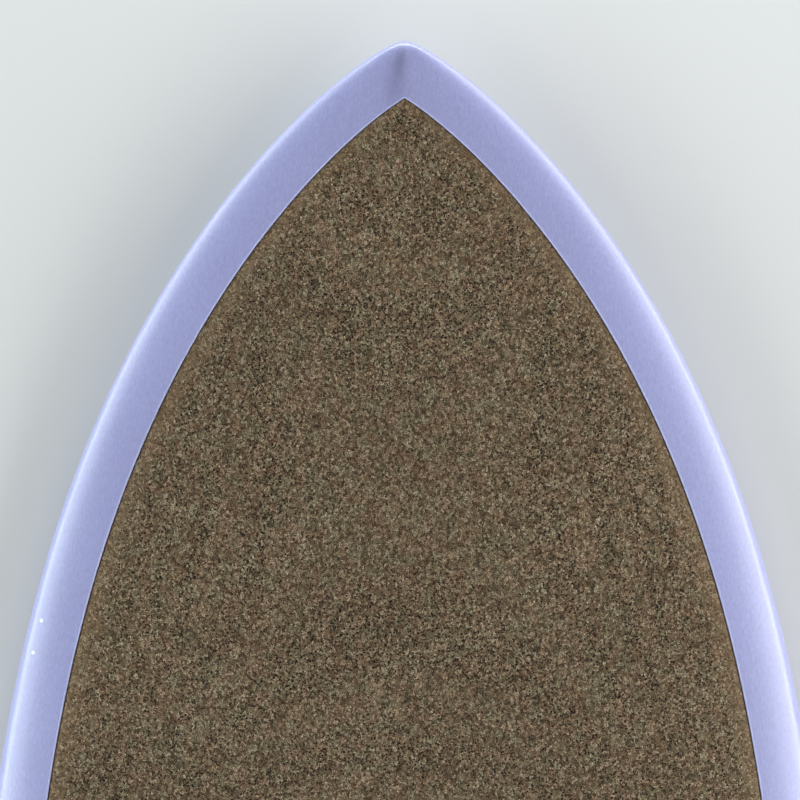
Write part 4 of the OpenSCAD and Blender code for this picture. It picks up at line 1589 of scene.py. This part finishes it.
@dataclass
class Studio:
    """Pale floor, soft lamps and the camera above the nose."""

    shape: BoardShape
    camera_far: float = 4000.0
    lens: float = 323.7
    aim: Spot = (1581.24, 2.5, 60.0)
    floor_half: float = 30.0
    floor_grey: Rgb = linear(216, 215, 213)
    sky: Rgb = (0.93, 0.95, 1.0)
    backdrop: Rgb = (0.86, 0.86, 0.88)
    ambient: float = 0.13
    lamps: tuple[Softbox, ...] = (
        Softbox("right", (0.3, -2.8, 1.34), (0.3, 0, 0.1), (6.0, 2.2), 150.0, (0.94, 0.97, 1.0)),
        Softbox("left", (0.3, 3.2, 1.34), (0.3, 0, 0.1), (6.0, 2.2), 141.0, (0.88, 0.97, 1.0)),
        Softbox("low_right", (0.3, -2.6, 0.5), (0.3, 0, 0.1), (6.0, 0.32), 50.0, (0.88, 0.98, 1.0)),
        Softbox("low_left", (0.3, 3.0, 0.46), (0.3, 0, 0.1), (6.0, 0.32), 64.0, (0.82, 0.98, 1.0)),
        Softbox("front", (3.4, 0.0, 0.38), (0.8, 0, 0.1), (5.2, 0.4), 130.0, (0.9, 0.97, 1.0)),
        Softbox("top", (-1.6, 0.0, 2.4), (0.2, 0.0, 0.0), (1.6, 1.6), 14.0, (1.0, 0.94, 0.86)),
    )

    def _floor(self) -> None:
        """Lays the floor."""
        bm = bmesh.new()
        bmesh.ops.create_grid(bm, x_segments=2, y_segments=2, size=self.floor_half)
        floor = bpy.data.objects.new("floor", finish_mesh(bm, "floor"))
        bpy.context.scene.collection.objects.link(floor)
        s = Sketch("floor")
        tint = s.blend(
            "MULTIPLY", 1.0, self.floor_grey, s.ramp(s.noise(3.0), ((0.3, 0.99), (0.7, 1.0)))
        )
        matt = {"Base Color": tint, "Roughness": 0.9, "Specular IOR Level": 0.0}
        floor.data.materials.append(s.done(matt))

    def _world(self) -> None:
        """Sets the light that comes from all round, and a pale surrounding."""
        world = bpy.data.worlds.new("surroundings")
        bpy.context.scene.world = world
        world.use_nodes = True
        tree = world.node_tree
        tree.nodes.clear()
        path = tree.nodes.new("ShaderNodeLightPath")
        seen = tree.nodes.new("ShaderNodeMath")
        seen.operation = "MAXIMUM"
        tree.links.new(path.outputs["Is Camera Ray"], seen.inputs[0])
        tree.links.new(path.outputs["Is Transmission Ray"], seen.inputs[1])
        lit = tree.nodes.new("ShaderNodeBackground")
        lit.inputs["Color"].default_value = (*self.sky, 1.0)
        lit.inputs["Strength"].default_value = self.ambient
        pale = tree.nodes.new("ShaderNodeBackground")
        pale.inputs["Color"].default_value = (*self.backdrop, 1.0)
        mix = tree.nodes.new("ShaderNodeMixShader")
        out = tree.nodes.new("ShaderNodeOutputWorld")
        tree.links.new(seen.outputs[0], mix.inputs[0])
        tree.links.new(lit.outputs[0], mix.inputs[1])
        tree.links.new(pale.outputs[0], mix.inputs[2])
        tree.links.new(mix.outputs[0], out.inputs[0])

    def _camera(self) -> None:
        """Sets the camera square above the front of the deck."""
        lens = bpy.data.cameras.new("camera")
        lens.lens = self.lens
        lens.sensor_width = 36.0
        lens.clip_end = 50.0
        camera = bpy.data.objects.new("camera", lens)
        bpy.context.scene.collection.objects.link(camera)
        down = self.shape.lay_down
        target = down @ Vector(self.aim)
        turn = down.to_quaternion()
        camera.rotation_mode = "QUATERNION"
        camera.rotation_quaternion = turn @ Euler((0, 0, -math.pi / 2)).to_quaternion()
        camera.location = target + turn @ Vector((0, 0, self.camera_far * MM))
        bpy.context.scene.camera = camera

    def build(self) -> None:
        """Sets up everything round the board."""
        bpy.context.scene.view_settings.view_transform = "Standard"
        self._floor()
        self._world()
        self._camera()
        for lamp in self.lamps:
            lamp.build()


def dress(piece: Any, material: bpy.types.Material) -> None:
    """Gives a piece or a CAD node one material on all its slots."""
    if not piece.data.materials:
        piece.data.materials.append(material)
    for slot in piece.material_slots:
        slot.material = material


def main() -> None:
    """Builds the surfboard and the studio round it."""
    logging.basicConfig(level=logging.INFO, format="%(name)s: %(message)s")
    shape = BoardShape()
    cork = CorkOutline(shape)
    places = Places(shape, cork)
    Studio(shape).build()

    band_specks_and_shade = BandSpecksAndCreaseShade(shape)
    # The band's laminate carries the pale specks and the painted crease shade.
    laminate = LavenderLaminate(pale_specks=band_specks_and_shade.pale_specks(), crease_shade_line=band_specks_and_shade.crease_shade_ends()).build()
    hull_mesh = HullLaminate(shape, cork).build(
        [FinBoxOpening(places).build(place.value) for place in FinPlace]
    )
    hull = add_piece("hull_laminate", hull_mesh, "board", ["hull_skin"])
    dress(hull, laminate)
    log.info("hull_laminate: %d faces", len(hull_mesh.polygons))

    lip = add_piece("band_lip", BandLip(shape, cork).build(), "board", [])
    # The bead gets a lighter copy of the band's laminate: a painted highlight for the bright line
    # along the cork's edge.
    dress(lip, LavenderLaminate(linear(160, 161, 200), "lip_laminate_painted_highlight", 0.36).build())
    log.info("band_lip: %d faces", len(lip.data.polygons))

    plug, vent = LeashPlug(places), AirVent(places)
    sheet_mesh = CorkInlay(shape, cork).build([plug.opening(), vent.opening()])
    sheet_mesh.shade_smooth()
    sheet_mesh.set_sharp_from_angle(angle=math.radians(60))
    sheet = add_piece("cork_inlay", sheet_mesh, "board", ["cork_deck"])
    dress(sheet, AgglomeratedCork().build())
    log.info("cork_inlay: %d faces", len(sheet_mesh.polygons))

    fin_skin = HoneycombLaminate().build()
    for place in FinPlace:
        side = place.value
        fin = add_piece(
            f"fin_blade_{side.name}",
            Fin(places, side).build(),
            f"fin_{side.name}",
            [f"fin_{side.name}"],
        )
        dress(fin, fin_skin)
        log.info("%s: %d faces", fin.name, len(fin.data.polygons))

    black = Moulding("black_moulding", linear(38, 39, 42), 0.4).build()
    white = Moulding("white_moulding", linear(232, 234, 236)).build()
    grey = Moulding("grey_moulding", linear(118, 121, 126), 0.4).build()
    pin_steel = Steel("bright_steel", linear(214, 214, 218), 0.16).build()
    for name, mesh, body, slot_name, node, material in (
        ("leash_cup_moulding", plug.build_cup(), "board", "black_plastic", "leash_cup", black),
        ("leash_pin", plug.build_pin(), "board", "bright_steel", "leash_bar", pin_steel),
        ("vent_housing", vent.build_housing(), "board", "white_plastic", "vent_insert", white),
        ("vent_cap", vent.build_screw(), "vent_cap", "grey_plastic", "vent_screw", grey),
    ):
        dress(add_piece(name, mesh, body, [node]), material)
        log.info("%s: %d faces", name, len(mesh.polygons))

    by_slot = {
        "eps_foam": Foam("bead_foam", linear(240, 240, 234), 3.5 * MM).build(),
        "dense_foam": Foam("dense_foam", linear(222, 206, 158), 0.8 * MM).build(),
        "stringer_wood": Timber().build(),
        "clear_laminate": LavenderLaminate(linear(214, 216, 206), "clear_laminate", 0.3).build(),
        "white_plastic": white,
        "black_plastic": black,
        "grey_plastic": grey,
        "grub_steel": Steel("grub_steel", linear(150, 150, 154)).build(),
        "bright_steel": pin_steel,
        "seal_rubber": Moulding("seal_rubber", linear(28, 28, 29), 0.7).build(),
        "membrane": Moulding("membrane", linear(238, 238, 240), 0.8).build(),
    }
    slots = {part["node"]: part["material_slot"] for part in frame["record"]["subparts"]}
    for name, node in frame["nodes"].items():
        if slots[name] in by_slot:
            dress(node, by_slot[slots[name]])


if __name__ == "__main__":
    main()
